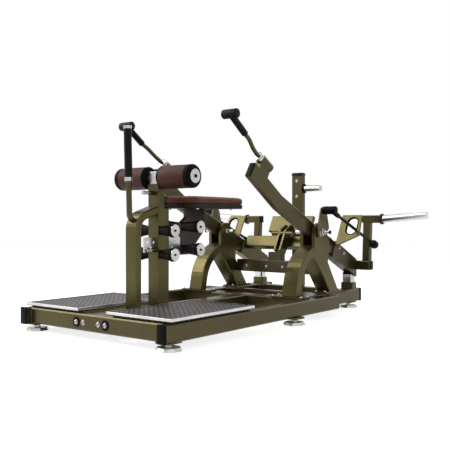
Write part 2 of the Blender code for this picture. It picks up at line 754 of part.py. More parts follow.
for height in FRONT_SHIN_HEIGHTS:
    add_rod(work, (-post_half - 0.01, POST_MIDDLE, height), (post_half + 0.01, POST_MIDDLE, height),
            bore(SHIN_AXLE_RADIUS, SEAT_GAP, 20))
for across, height in pin_spots:
    add_rod(work, (across, boss_front - 0.01, height), (across, POST_BACK + POST_WALL * 2, height),
            bore(PIN_RADIUS, RUNNING_GAP, 16), 16)
cut(main_post, work)

# Bush on the main post's top, which the roller post passes through
slide_half = post_half - POST_WALL - SLIDE_GAP
slide_front = POST_BACK + POST_WALL + SLIDE_GAP
slide_back = post_end - POST_WALL - SLIDE_GAP
work = bmesh.new()
over = BUSH_OVERHANG
outside = rectangle((-post_half - over, POST_BACK - over), (post_half + over, post_end + over))
inside = rectangle((-slide_half - SEAT_GAP, slide_front - SEAT_GAP),
                   (slide_half + SEAT_GAP, slide_back + SEAT_GAP))
add_plate(work, [outside, inside], BUSH_HEIGHT, FLOOR_PLANE, POST_TOP + SEAT_GAP + BUSH_HEIGHT / 2, 0.0012)
finish("post_bush", work, OLIVE)

# Seat post: stands behind the main post and carries the seat board
work = bmesh.new()
seat_post_end = SEAT_POST_BACK + SEAT_POST_DEPTH
add_box(work, (-post_half, SEAT_POST_BACK, post_low),
        (post_half, seat_post_end, SEAT_BOARD_BOTTOM - SEAT_GAP), 0.005, 2)
seat_post = finish("seat_post", work, TAN)
work = bmesh.new()
add_box(work, (-window_half, SEAT_POST_BACK - 0.01, window_low),
        (window_half, seat_post_end + 0.01, window_high))
cut(seat_post, work)


# Grab handle: a tube that leaves the column's bend and rises, with a long grip between two collars

def lined_up(path, height):
    """The point of a side-view path's last straight run at a given height."""
    (y0, z0, _), (y1, z1, _) = path[-2], path[-1]
    share = (height - z0) / (z1 - z0)
    return Vector((0.0, y0 + (y1 - y0) * share, height))


foot_angle = math.radians(HANDLE_FOOT_ANGLE)
foot_reach = COLUMN_BEND_RADIUS + COLUMN_DEPTH / 2 + SEAT_GAP
foot = (column_middle + COLUMN_BEND_RADIUS - foot_reach * math.cos(foot_angle),
        COLUMN_STRAIGHT_TOP + foot_reach * math.sin(foot_angle))
rise = bent_centre(foot, 180 - HANDLE_FOOT_ANGLE, 0.003, HANDLE_BEND_RADIUS, HANDLE_LEAN,
                   HANDLE_TOP - HANDLE_BEND_TOP)
work = bmesh.new()
add_tube(work, [(0.0, y, z) for y, z, _ in rise], HANDLE_TUBE_RADIUS, 4)
grab_handle = finish("grab_handle", work, OLIVE)
grip_low = HANDLE_TOP - COLLAR_LENGTH - GRIP_LENGTH
grip_high = grip_low + GRIP_LENGTH
work = bmesh.new()
add_rod(work, lined_up(rise, grip_low - COLLAR_LENGTH), lined_up(rise, grip_low - SEAT_GAP),
        COLLAR_RADIUS, 24)
add_rod(work, lined_up(rise, grip_high + SEAT_GAP), lined_up(rise, HANDLE_TOP + 0.003), COLLAR_RADIUS, 24)
weld(grab_handle, work)

work = bmesh.new()
ring(work, lined_up(rise, grip_low), lined_up(rise, grip_high), GRIP_RADIUS,
     bore(HANDLE_TUBE_RADIUS, SEAT_GAP))
finish("grab_grip", work, BLACK)


# Seat: a cushion with a narrow nose between the thighs, on a flat board

def seat_outline(inset, steps=5):
    """The seat seen from above: a nose in front, then the wide part, with rounded corners."""
    nose = NOSE_WIDTH / 2 - inset
    wide = SEAT_WIDTH / 2 - inset
    front = SEAT_FRONT + inset
    shoulder = SEAT_FRONT + NOSE_LENGTH + inset
    end = SEAT_FRONT + NOSE_LENGTH + SEAT_LENGTH - inset
    small = SEAT_CORNER / 2
    right = []
    for across, back, first, radius in ((nose - small, front + small, -90, small),
                                        (wide - SEAT_CORNER, shoulder + SEAT_CORNER, -90, SEAT_CORNER),
                                        (wide - SEAT_CORNER, end - SEAT_CORNER, 0, SEAT_CORNER)):
        for step in range(steps + 1):
            turn = math.radians(first + 90 * step / steps)
            right.append((across + radius * math.cos(turn), back + radius * math.sin(turn)))
    right.insert(steps + 1, (nose, shoulder))
    return right + [(-across, back) for across, back in right[::-1]]


work = bmesh.new()
add_plate(work, [seat_outline(0.004)], BOARD_THICKNESS, FLOOR_PLANE,
          SEAT_BOARD_BOTTOM + BOARD_THICKNESS / 2, 0.004)
finish("seat_board", work, BOARD)

work = bmesh.new()
cushion_low = SEAT_BOARD_BOTTOM + BOARD_THICKNESS + SEAT_GAP
add_plate(work, [seat_outline(0.0)], CUSHION_THICKNESS, FLOOR_PLANE,
          cushion_low + CUSHION_THICKNESS / 2, 0.012, 3)
finish("seat_cushion", work, LEATHER)


# Stands: a bent front leg and a straight rear leg meet under a fork that holds the shaft

def stand_head():
    """Side view of one cheek of the fork, rounded over the shaft, with the shaft's hole."""
    top = []
    for step in range(13):
        turn = math.radians(15 + 165 * step / 12)
        top.append((PIVOT_BACK + HEAD_RADIUS * math.cos(turn), PIVOT_HEIGHT + HEAD_RADIUS * math.sin(turn)))
    base = HEAD_BASE - 0.030
    outline = [(PIVOT_BACK - HEAD_RADIUS, base), (HEAD_BACK, base), (HEAD_BACK, PIVOT_HEIGHT - 0.035)] + top
    return [outline, circle((PIVOT_BACK, PIVOT_HEIGHT), bore(SHAFT_RADIUS, RUNNING_GAP))]


leg_low = PLATE_TOP - 0.002
leg_path = bent_centre((FRONT_LEG_FOOT, leg_low), FRONT_LEG_RISE, FRONT_LEG_STRAIGHT, FRONT_LEG_BEND_RADIUS,
                       FRONT_LEG_END_RISE, FRONT_LEG_RUN)
leg_half = FRONT_LEG_THICKNESS / 2
front_leg = band(leg_path, leg_half, leg_half)
flare = leg_half / math.sin(math.radians(FRONT_LEG_RISE))
front_leg[0] = (FRONT_LEG_FOOT - flare, leg_low)
front_leg[-1] = (FRONT_LEG_FOOT + flare, leg_low)
rear_leg = [CROTCH, (HEAD_FRONT, HEAD_BASE - WELD_STEP), (HEAD_BACK - WELD_STEP, HEAD_BASE - WELD_STEP),
            (HEAD_BACK - 0.006, HEAD_BASE - 0.082), (REAR_LEG_BACK, leg_low), (REAR_LEG_FRONT, leg_low),
            REAR_LEG_KNEE]
for name, side in sides():
    work = bmesh.new()
    side_plate(work, [front_leg], side, STAND_IN, STAND_OUT, 0.005)
    stand = finish("stand_" + name, work, TAN)
    work = bmesh.new()
    step = 2 * WELD_STEP
    side_plate(work, [rear_leg], side, STAND_IN + step, STAND_OUT - step, 0.005)
    weld(stand, work)
    cheek = (STAND_WIDTH - SLOT_WIDTH) / 2
    work = bmesh.new()
    side_plate(work, stand_head(), side, STAND_IN - step, STAND_IN + cheek)
    side_plate(work, stand_head(), side, STAND_OUT - cheek, STAND_OUT + step)
    weld(stand, work)
    work = bmesh.new()
    plate_low = RAIL_TOP + SEAT_GAP
    side_box(work, side, (STAND_IN - 0.070, FRONT_LEG_FOOT - 0.042, plate_low),
             (STAND_OUT + 0.048, FRONT_LEG_FOOT + 0.042, PLATE_TOP))
    side_box(work, side, (STAND_IN + 0.004, REAR_LEG_FRONT - 0.045, plate_low),
             (STAND_OUT - 0.004, REAR_LEG_BACK + 0.045, PLATE_TOP))
    weld(stand, work)

# Lower tie beam between the rear legs, with the block that the centre straps come down on
work = bmesh.new()
beam_reach = STAND_IN + 2 * WELD_STEP - SEAT_GAP
beam_top = TIE_BEAM_BOTTOM + TIE_BEAM_HEIGHT
add_box(work, (-beam_reach, TIE_BEAM_BACK, TIE_BEAM_BOTTOM),
        (beam_reach, TIE_BEAM_BACK + TIE_BEAM_DEPTH, beam_top), 0.005, 2)
tie_beam = finish("lower_tie_beam", work, DARK)
work = bmesh.new()
block_back = TIE_BEAM_BACK + TIE_BEAM_DEPTH
add_box(work, (-REST_BLOCK_WIDTH / 2, block_back - REST_BLOCK_DEPTH, beam_top - 0.004),
        (REST_BLOCK_WIDTH / 2, block_back - WELD_STEP, REST_BLOCK_TOP), 0.002)
weld(tie_beam, work)

# Storage post behind the arms, with its cap and one horn for spare plates
work = bmesh.new()
storage_half = STORAGE_WIDTH / 2
storage_end = STORAGE_BACK + STORAGE_DEPTH
add_box(work, (-storage_half, STORAGE_BACK, high + SEAT_GAP),
        (storage_half, storage_end, STORAGE_TOP), 0.005)
storage_post = finish("storage_post", work, OLIVE)
work = bmesh.new()
add_box(work, (-storage_half - CAP_OVERHANG, STORAGE_BACK - CAP_OVERHANG, STORAGE_TOP - 0.002),
        (storage_half + CAP_OVERHANG, storage_end + CAP_OVERHANG, STORAGE_TOP + 0.012), 0.006, 3)
weld(storage_post, work)

work = bmesh.new()
horn_start = storage_half + SEAT_GAP
storage_middle = STORAGE_BACK + STORAGE_DEPTH / 2
length = STORAGE_HORN_LENGTH
radius = STORAGE_HORN_RADIUS
flange = STORAGE_HORN_RADIUS * 1.45
profile = [(0.0, length), (radius - 0.003, length), (radius, length - 0.003), (radius, 0.006),
           (flange, 0.006), (flange, 0.0), (0.0, 0.0)]
turned = (Matrix.Translation((horn_start, storage_middle, STORAGE_HORN_HEIGHT))
          @ Matrix.Rotation(math.pi / 2, 4, 'Y'))
add_turned(work, profile, turned)
finish("storage_horn", work, STEEL)


# Arms: each bends once, ends in a deeper sleeve, and carries the socket of a handle

arm_slope = math.tan(math.radians(ARM_REAR_SLOPE))
front_run = (ARM_BEND_BACK - ARM_FRONT_BACK) / math.cos(math.radians(ARM_FRONT_SLOPE))
tangent = ARM_BEND_RADIUS * math.tan(math.radians(ARM_FRONT_SLOPE - ARM_REAR_SLOPE) / 2)
rear_run = (SLEEVE_FRONT + 0.030 - ARM_BEND_BACK) / math.cos(math.radians(ARM_REAR_SLOPE))
arm_path = bent_centre((ARM_FRONT_BACK, ARM_FRONT_HEIGHT), -ARM_FRONT_SLOPE, front_run - tangent,
                       ARM_BEND_RADIUS, -ARM_REAR_SLOPE, rear_run - tangent, 4)
arm_outline = band(arm_path, ARM_DEPTH / 2, ARM_DEPTH / 2)


def arm_height(back):
    """Height of the arm's centre line behind its bend."""
    return PIVOT_HEIGHT - arm_slope * (back - PIVOT_BACK)


tilt = math.radians(ARM_REAR_SLOPE)
above = SLEEVE_ABOVE / math.cos(tilt)
below = SLEEVE_BELOW / math.cos(tilt)
sleeve_corners = ((SLEEVE_FRONT + SLEEVE_ABOVE * math.sin(tilt), above), (SLEEVE_END, above),
                  (SLEEVE_END, -below), (SLEEVE_FRONT - SLEEVE_BELOW * math.sin(tilt), -below))
sleeve_outline = [(back, arm_height(back) + offset) for back, offset in sleeve_corners]
front_tilt = math.radians(ARM_FRONT_SLOPE)
arm_front_top = (ARM_FRONT_BACK + ARM_DEPTH / 2 * math.sin(front_tilt),
                 ARM_FRONT_HEIGHT + ARM_DEPTH / 2 * math.cos(front_tilt))


def socket_point(distance):
    """A side-view point on the socket's axis, at a distance behind its front end."""
    slope = math.radians(SOCKET_SLOPE)
    return (SOCKET_FRONT[0] + distance * math.cos(slope), SOCKET_FRONT[1] - distance * math.sin(slope))


def arm_top_point(distance, sink):
    """A point sunk below the top face of the arm's front run, at a distance from its front end."""
    return (arm_front_top[0] + distance * math.cos(front_tilt) - sink * math.sin(front_tilt),
            arm_front_top[1] - distance * math.sin(front_tilt) - sink * math.cos(front_tilt))


for name, side in sides():
    middle = side * STAND_SPREAD / 2
    pivot = (middle, PIVOT_BACK, PIVOT_HEIGHT)
    work = bmesh.new()
    side_plate(work, [arm_outline], side, ARM_IN, ARM_OUT, 0.005)
    arm = finish("arm_" + name, work, OLIVE, pivot)
    work = bmesh.new()
    side_plate(work, [sleeve_outline], side, STAND_SPREAD / 2 - SLEEVE_WIDTH / 2,
               STAND_SPREAD / 2 + SLEEVE_WIDTH / 2, 0.003)
    weld(arm, work)
    work = bmesh.new()
    hub_reach = SLOT_WIDTH / 2 - RUNNING_GAP
    add_rod(work, (middle - hub_reach, PIVOT_BACK, PIVOT_HEIGHT),
            (middle + hub_reach, PIVOT_BACK, PIVOT_HEIGHT), HUB_RADIUS, 24)
    weld(arm, work)
    work = bmesh.new()
    saddle = [socket_point(SADDLE_INSET), socket_point(SOCKET_LENGTH - SADDLE_INSET),
              arm_top_point(SADDLE_ON_ARM[1], SADDLE_INSET), arm_top_point(SADDLE_ON_ARM[0], SADDLE_INSET)]
    side_plate(work, [saddle], side, (STAND_SPREAD - SADDLE_WIDTH) / 2, (STAND_SPREAD + SADDLE_WIDTH) / 2)
    weld(arm, work)
    work = bmesh.new()
    add_rod(work, (middle, *socket_point(0.0)), (middle, *socket_point(SOCKET_LENGTH)), SOCKET_RADIUS, 24)
    weld(arm, work)
    work = bmesh.new()
    add_rod(work, (middle, *socket_point(-0.01)), (middle, *socket_point(SOCKET_LENGTH + 0.01)),
            bore(HANDLE_BAR_RADIUS, RUNNING_GAP, 20), 20)
    reach = hub_reach + 0.01
    add_rod(work, (middle - reach, PIVOT_BACK, PIVOT_HEIGHT),
            (middle + reach, PIVOT_BACK, PIVOT_HEIGHT), bore(SHAFT_RADIUS, SEAT_GAP), 24)
    cut(arm, work)

# Rubber bumpers on the stops, their tops sloped to meet the arms' sleeves
bumper_low = stop_top + SEAT_GAP


def sleeve_bottom(back):
    return arm_height(back) - below


for name, side in sides():
    work = bmesh.new()
    end = STOP_BACK + STOP_DEPTH
    outline = [(STOP_BACK, bumper_low), (end, bumper_low), (end, sleeve_bottom(end) - RUNNING_GAP),
               (STOP_BACK, sleeve_bottom(STOP_BACK) - RUNNING_GAP)]
    side_plate(work, [outline], side, stop_in + 0.008, stop_out - 0.008, 0.002)
    finish("stop_bumper_" + name, work, RUBBER)


# Cross beam between the arms, with two straps and a short rod in front of it

leaning = Matrix.Translation((0, BEAM_BACK, BEAM_HEIGHT)) @ Matrix.Rotation(math.radians(-LEAN), 4, 'X')


def lean_point(up, back):
    """A side-view point given along and behind the leaning beam's middle."""
    point = leaning @ Vector((0.0, back, up))
    return (point.y, point.z)


work = bmesh.new()
beam_reach = STAND_SPREAD / 2 - SLEEVE_WIDTH / 2 - SEAT_GAP
add_box(work, (-beam_reach, -BEAM_DEPTH / 2, -BEAM_TALL / 2),
        (beam_reach, BEAM_DEPTH / 2, BEAM_TALL / 2), 0.005, 2, leaning)
cross_beam = finish("cross_beam", work, TAN, (0.0, PIVOT_BACK, PIVOT_HEIGHT))
face = -BEAM_DEPTH / 2
strap_front = face - STRAP_REACH
strap = [(-STRAP_DROP, strap_front), (STRAP_BEND, strap_front), (STRAP_TOP, face - 0.022),
         (STRAP_TOP, face - SEAT_GAP), (BEAM_TALL / 2 + 0.008, face - SEAT_GAP),
         (BEAM_TALL / 2 - 0.008, face + 0.006), (-BEAM_TALL / 2 + 0.008, face + 0.006), (-STRAP_DROP, face)]
work = bmesh.new()
for side in (-1, 1):
    add_plate(work, [[lean_point(up, back) for up, back in strap]], STRAP_THICKNESS, SIDE_PLANE,
              side * STRAP_SPACING / 2)
weld(cross_beam, work)
work = bmesh.new()
rod_y, rod_z = lean_point(STRAP_BEND - 0.019, strap_front + 0.013)
add_rod(work, (-ROD_LENGTH / 2, rod_y, rod_z), (ROD_LENGTH / 2, rod_y, rod_z), ROD_RADIUS, 20)
weld(cross_beam, work)

work = bmesh.new()
plate_end = CENTRE_PLATE_START + CENTRE_PLATE_LENGTH
add_box(work, (-CENTRE_PLATE_WIDTH / 2, face, CENTRE_PLATE_START),
        (CENTRE_PLATE_WIDTH / 2, face + CENTRE_PLATE_THICKNESS, plate_end), 0.004, 2, leaning)
finish("centre_plate", work, OLIVE, (0.0, PIVOT_BACK, PIVOT_HEIGHT))

# Guide plates on the arms' outer sides, each with an oval hole for a lever
sleeve_side = STAND_SPREAD / 2 + SLEEVE_WIDTH / 2
cosine = math.cos(math.radians(LEAN))
guide_place = (Matrix.Translation((0, GUIDE_BACK, GUIDE_MIDDLE_HEIGHT))
               @ Matrix.Rotation(math.radians(-LEAN), 4, 'X') @ FRONT_PLANE)


def oval(centre, width, length, steps=8):
    """An upright slot with round ends."""
    radius = width / 2
    points = []
    for middle, first in ((centre[1] + length / 2 - radius, 0), (centre[1] - length / 2 + radius, 180)):
        for step in range(steps + 1):
            turn = math.radians(first + 180 * step / steps)
            points.append((centre[0] + radius * math.cos(turn), middle + radius * math.sin(turn)))
    return points


def up_plate(height):
    return (height - GUIDE_MIDDLE_HEIGHT) / cosine


for name, side in sides():
    inner = sleeve_side + SEAT_GAP
    outline = [(inner, up_plate(GUIDE_BOTTOM_INNER)), (GUIDE_OUTER, up_plate(GUIDE_BOTTOM_OUTER)),
               (GUIDE_OUTER_TOP, up_plate(GUIDE_TOP)), (inner, up_plate(GUIDE_TOP))]
    hole = oval((GUIDE_HOLE_CENTRE, up_plate(GUIDE_HOLE_HEIGHT)), GUIDE_HOLE_WIDTH, GUIDE_HOLE_LENGTH)
    outlines = [[(side * across, up) for across, up in line] for line in (outline, hole)]
    work = bmesh.new()
    add_plate(work, outlines, GUIDE_THICKNESS, guide_place, 0.0, 0.0015)
    finish("guide_plate_" + name, work, OLIVE, (side * STAND_SPREAD / 2, PIVOT_BACK, PIVOT_HEIGHT))

# Weight carriers: a tube outwards from each sleeve's end, an upright and a short tube for the horn
horn_back = CARRIER_BACK + UPRIGHT_LEAN + CARRIER_DEPTH / 2
horn_height = UPRIGHT_TOP + HORN_TUBE / 2
for name, side in sides():
    pivot = (side * STAND_SPREAD / 2, PIVOT_BACK, PIVOT_HEIGHT)
    work = bmesh.new()
    end = CARRIER_BACK + CARRIER_DEPTH
    side_box(work, side, (STAND_SPREAD / 2 - SLEEVE_WIDTH / 2, SLEEVE_END + SEAT_GAP, CARRIER_BOTTOM),
             (CARRIER_OUTER, end, CARRIER_BOTTOM + CARRIER_TUBE), 0.004, 2)
    carrier = finish("weight_carrier_" + name, work, OLIVE, pivot)
    work = bmesh.new()
    foot = CARRIER_BOTTOM + CARRIER_TUBE - WELD_DEPTH
    top = UPRIGHT_TOP + WELD_DEPTH
    outline = [(CARRIER_BACK + 0.002, foot), (end - 0.002, foot), (end + UPRIGHT_LEAN - 0.002, top),
               (CARRIER_BACK + UPRIGHT_LEAN + 0.002, top)]
    outer = CARRIER_OUTER - 0.006
    side_plate(work, [outline], side, outer - UPRIGHT_WIDTH, outer, 0.004)
    weld(carrier, work)
    work = bmesh.new()
    side_box(work, side, (outer - UPRIGHT_WIDTH - 0.004, CARRIER_BACK + UPRIGHT_LEAN, UPRIGHT_TOP),
             (HORN_TUBE_OUTER, end + UPRIGHT_LEAN, UPRIGHT_TOP + HORN_TUBE), 0.004, 2)
    weld(carrier, work)

    collar_start = HORN_TUBE_OUTER + SEAT_GAP
    collar_end = collar_start + HORN_COLLAR_THICKNESS
    work = bmesh.new()
    add_rod(work, (side * collar_start, horn_back, horn_height),
            (side * collar_end, horn_back, horn_height), HORN_COLLAR_RADIUS, 24,
            HORN_COLLAR_RADIUS * 0.92, 0.002)
    horn = finish("weight_horn_" + name, work, STEEL, (side * STAND_SPREAD / 2, PIVOT_BACK, PIVOT_HEIGHT))
    work = bmesh.new()
    climb = math.tan(math.radians(HORN_RISE)) * (HORN_END - collar_start)
    add_rod(work, (side * (collar_start + 0.006), horn_back, horn_height),
            (side * HORN_END, horn_back, horn_height + climb), HORN_RADIUS, 24, edge=0.002)
    weld(horn, work)

# Pivot shafts: each crosses its fork and ends outside in a bracket for the lever
bracket_outer = LEVER_BRACKET_INNER + LEVER_BRACKET_THICKNESS
for name, side in sides():
    pivot = (side * STAND_SPREAD / 2, PIVOT_BACK, PIVOT_HEIGHT)
    work = bmesh.new()
    add_rod(work, (side * SHAFT_INNER, PIVOT_BACK, PIVOT_HEIGHT),
            (side * SHAFT_OUTER, PIVOT_BACK, PIVOT_HEIGHT), SHAFT_RADIUS, 24)
    shaft = finish("pivot_shaft_" + name, work, STEEL, pivot)
    work = bmesh.new()
    nut_out = STAND_IN - 2 * WELD_STEP - RUNNING_GAP
    add_rod(work, (side * (nut_out - SHAFT_NUT_THICKNESS), PIVOT_BACK, PIVOT_HEIGHT),
            (side * nut_out, PIVOT_BACK, PIVOT_HEIGHT), SHAFT_NUT_RADIUS, 6)
    base = PIVOT_HEIGHT - LEVER_BRACKET_FOOT
    outline = [(PIVOT_BACK - LEVER_BRACKET_FOOT, base), (PIVOT_BACK + LEVER_BRACKET_FOOT, base),
               (HEAD_BACK - 0.020, PIVOT_HEIGHT + 0.022)]
    for step in range(9):
        turn = math.radians(180 * step / 8)
        outline.append((LEVER_BACK + LEVER_BRACKET_TIP * math.cos(turn),
                        LEVER_HEIGHT + LEVER_BRACKET_TIP * math.sin(turn) * 0.6))
    outline.append((PIVOT_BACK - LEVER_BRACKET_FOOT - 0.010, PIVOT_HEIGHT + 0.020))
    side_plate(work, [outline], side, LEVER_BRACKET_INNER, bracket_outer, 0.002)
    weld(shaft, work)
    work = bmesh.new()
    add_rod(work, (side * (bracket_outer - 0.004), LEVER_BACK, LEVER_HEIGHT),
            (side * LEVER_BOSS_END, LEVER_BACK, LEVER_HEIGHT), LEVER_PIVOT_RADIUS, 20)
    add_rod(work, (side * (bracket_outer - 0.003), PIVOT_BACK, PIVOT_HEIGHT),
            (side * (bracket_outer + SHAFT_NUT_THICKNESS), PIVOT_BACK, PIVOT_HEIGHT), SHAFT_NUT_RADIUS, 6)
    weld(shaft, work)

# Levers: a hub on the bracket's pin, and a long rod through the guide plate to a ball
for name, side in sides():
    work = bmesh.new()
    hub_start = side * (bracket_outer + RUNNING_GAP)
    hub_end = side * (LEVER_BOSS_END - 0.001)
    ring(work, (hub_start, LEVER_BACK, LEVER_HEIGHT), (hub_end, LEVER_BACK, LEVER_HEIGHT),
         LEVER_BOSS_RADIUS, bore(LEVER_PIVOT_RADIUS, RUNNING_GAP))
    lever = finish("lever_" + name, work, BLACK, (side * LEVER_SIDE, LEVER_BACK, LEVER_HEIGHT))
    work = bmesh.new()
    ball = Vector((side * LEVER_END_SIDE, LEVER_END_BACK, LEVER_END_HEIGHT))
    start = Vector((side * LEVER_SIDE, LEVER_BACK, LEVER_HEIGHT - LEVER_ROD_DROP))
    start += (ball - start).normalized() * (LEVER_BOSS_RADIUS / 2)
    add_rod(work, start, ball, LEVER_ROD_RADIUS, 12)
    weld(lever, work)
    work = bmesh.new()
    bmesh.ops.create_uvsphere(work, u_segments=16, v_segments=9, radius=LEVER_BALL_RADIUS,
                              matrix=Matrix.Translation(ball))
    weld(lever, work)


# Handles: a bar that turns in the arm's socket, rises forwards in a sleeve and ends in a cross grip

def smooth(points, steps=4):
    """Points along a smooth curve through the given ones, with straight first and last runs."""
    spread = [points[0]]
    for n in range(1, len(points) - 2):
        before, start, end, after = (Vector(point) for point in points[n - 1:n + 3])
        for step in range(steps):
            t = step / steps
            square = (2 * before - 5 * start + 4 * end - after) * t ** 2
            cube = (3 * start - before - 3 * end + after) * t ** 3
            spread.append(0.5 * (2 * start + (end - before) * t + square + cube))
    return spread + [Vector(points[-2]), Vector(points[-1])]


for name, side in sides():
    middle = side * STAND_SPREAD / 2
    grip_middle = middle + side * HANDLE_SET_OUT
    route = [(middle, *socket_point(SOCKET_LENGTH - 0.004)), (middle, *socket_point(-HANDLE_COLLAR_LENGTH)),
             (middle + side * HANDLE_SET_OUT * 0.3, *HANDLE_KNEE),
             (middle + side * HANDLE_SET_OUT * 0.8, *HANDLE_RISE),
             (grip_middle, *SLEEVE_START), (grip_middle, *GRIP_PLACE)]
    work = bmesh.new()
    add_tube(work, smooth(route, 3), HANDLE_BAR_RADIUS, 3)
    handle = finish("handle_" + name, work, OLIVE, (middle, *socket_point(0.0)))
    work = bmesh.new()
    add_rod(work, (grip_middle, *SLEEVE_START), (grip_middle, *GRIP_PLACE), HANDLE_SLEEVE_RADIUS, 16)
    add_rod(work, (middle, *socket_point(-HANDLE_COLLAR_LENGTH)), (middle, *socket_point(-RUNNING_GAP)),
            SOCKET_RADIUS * 0.9, 20)
    weld(handle, work)
    work = bmesh.new()
    half = T_GRIP_LENGTH / 2
    add_rod(work, (grip_middle - half, *GRIP_PLACE), (grip_middle + half, *GRIP_PLACE),
            T_GRIP_RADIUS, 20, edge=0.004)
    weld(handle, work)


# Roller post with the thigh rollers on one axle

work = bmesh.new()
add_box(work, (-slide_half, slide_front, ROLLER_POST_BOTTOM),
        (slide_half, slide_back, ROLLER_POST_TOP), 0.003)
roller_post = finish("roller_post", work, STEEL)
work = bmesh.new()
add_rod(work, (-post_half - 0.01, POST_MIDDLE, ROLLER_AXIS_HEIGHT),
        (post_half + 0.01, POST_MIDDLE, ROLLER_AXIS_HEIGHT), bore(THIGH_AXLE_RADIUS, SEAT_GAP), 24)
cut(roller_post, work)

axle_place = Matrix.Translation((0, POST_MIDDLE, ROLLER_AXIS_HEIGHT)) @ Matrix.Rotation(math.pi / 2, 4, 'Y')
disc_in = THIGH_ROLLER_OUTER + RUNNING_GAP
disc_out = disc_in + END_DISC_THICKNESS
collar_in = slide_half + SEAT_GAP
collar_out = THIGH_ROLLER_INNER - RUNNING_GAP
half_profile = [(0.0, disc_out), (END_DISC_RADIUS - 0.002, disc_out), (END_DISC_RADIUS, disc_out - 0.002),
                (END_DISC_RADIUS, disc_in), (THIGH_AXLE_RADIUS, disc_in), (THIGH_AXLE_RADIUS, collar_out),
                (THIGH_AXLE_RADIUS * 1.6, collar_out), (THIGH_AXLE_RADIUS * 1.6, collar_in),
                (THIGH_AXLE_RADIUS, collar_in)]
work = bmesh.new()
add_turned(work, half_profile + [(radius, -height) for radius, height in half_profile[::-1]], axle_place)
finish("thigh_axle", work, STEEL, (0.0, POST_MIDDLE, ROLLER_AXIS_HEIGHT))

for name, side in sides():
    soft = 0.008
    low, high, outer = THIGH_ROLLER_INNER, THIGH_ROLLER_OUTER, THIGH_ROLLER_RADIUS
    hole = bore(THIGH_AXLE_RADIUS, RUNNING_GAP)
    corner = [(outer - soft + soft * math.sin(turn), high - soft + soft * math.cos(turn))
              for turn in (math.radians(15 * n) for n in range(0, 7, 2))]
    band_line = high - END_BAND
    groove = [(outer, band_line + 0.002), (outer - BAND_RECESS, band_line), (outer, band_line - 0.002)]
    bottom = [(radius, low + high - height) for radius, height in corner[::-1]]
    profile = [(hole, high)] + corner + groove + bottom + [(hole, low)]
    place = (Matrix.Translation((0, POST_MIDDLE, ROLLER_AXIS_HEIGHT))
             @ Matrix.Rotation(side * math.pi / 2, 4, 'Y'))
    work = bmesh.new()
    add_turned(work, profile, place, 28)
    middle = side * (low + high) / 2
    finish("thigh_roller_" + name, work, LEATHER, (middle, POST_MIDDLE, ROLLER_AXIS_HEIGHT))

# Pull pins in the main post's two bosses
for name, (across, height) in zip(("post_pin", "shin_pin"), pin_spots):
    length = PIN_KNOB_LENGTH
    tip = PIN_BOSS_LENGTH + POST_WALL
    knob = PIN_KNOB_RADIUS
    profile = [(0.0, length), (knob - 0.002, length), (knob, length - 0.002), (knob, length * 0.45),
               (knob * 0.8, length * 0.40), (knob * 0.8, SEAT_GAP), (PIN_RADIUS, SEAT_GAP),
               (PIN_RADIUS, -tip + 0.0015), (PIN_RADIUS - 0.0015, -tip), (0.0, -tip)]
    place = Matrix.Translation((across, boss_front, height)) @ Matrix.Rotation(math.pi / 2, 4, 'X')
    work = bmesh.new()
    add_turned(work, profile, place, 16)
    finish(name, work, STEEL, (across, POST_BACK, height))


# Shin rollers: a fixed pair of axles through the main post, and a pair on the sliding bracket

def shin_axle_profile(hub_half):
    """An axle with a disc at each end, thicker where it is held."""
    end = SHIN_HALF_LENGTH + RUNNING_GAP
    last = end + SHIN_DISC_THICKNESS
    disc = SHIN_DISC_RADIUS
    half = [(0.0, last), (disc - 0.0015, last), (disc, last - 0.0015), (disc, end), (SHIN_AXLE_RADIUS, end)]
    if hub_half > 0:
        half += [(SHIN_AXLE_RADIUS, hub_half + 0.0045), (SHIN_AXLE_RADIUS * 1.7, hub_half + 0.0045),
                 (SHIN_AXLE_RADIUS * 1.7, hub_half), (SHIN_AXLE_RADIUS, hub_half)]
    return half + [(radius, -height) for radius, height in half[::-1]]


def shin_roller_profile(start):
    """Half of a waisted roller, from its narrow inner face to its flared end."""
    hole = bore(SHIN_AXLE_RADIUS, RUNNING_GAP, 18)
    end = SHIN_HALF_LENGTH
    flange = 0.018
    reach = end - flange
    flare = []
    for step in range(5):
        along_roller = start + (reach - start) * step / 4
        share = along_roller / reach
        radius = SHIN_WAIST_RADIUS + (SHIN_ROLLER_RADIUS * 0.94 - SHIN_WAIST_RADIUS) * share ** 1.5
        flare.append((radius, along_roller))
    rim = [(SHIN_ROLLER_RADIUS, reach + 0.003), (SHIN_ROLLER_RADIUS, end - 0.003),
           (SHIN_ROLLER_RADIUS - 0.003, end)]
    return ([(hole, start)] + flare + rim + [(hole, end)])[::-1]


post_hub = post_half + SEAT_GAP
bracket_half = BRACKET_THICKNESS / 2
for level, height in zip(("upper", "lower"), FRONT_SHIN_HEIGHTS):
    centre = (0.0, POST_MIDDLE, height)
    turn = Matrix.Translation(centre) @ Matrix.Rotation(math.pi / 2, 4, 'Y')
    work = bmesh.new()
    add_turned(work, shin_axle_profile(post_hub), turn, 16)
    finish("front_shin_axle_" + level, work, STEEL, centre)

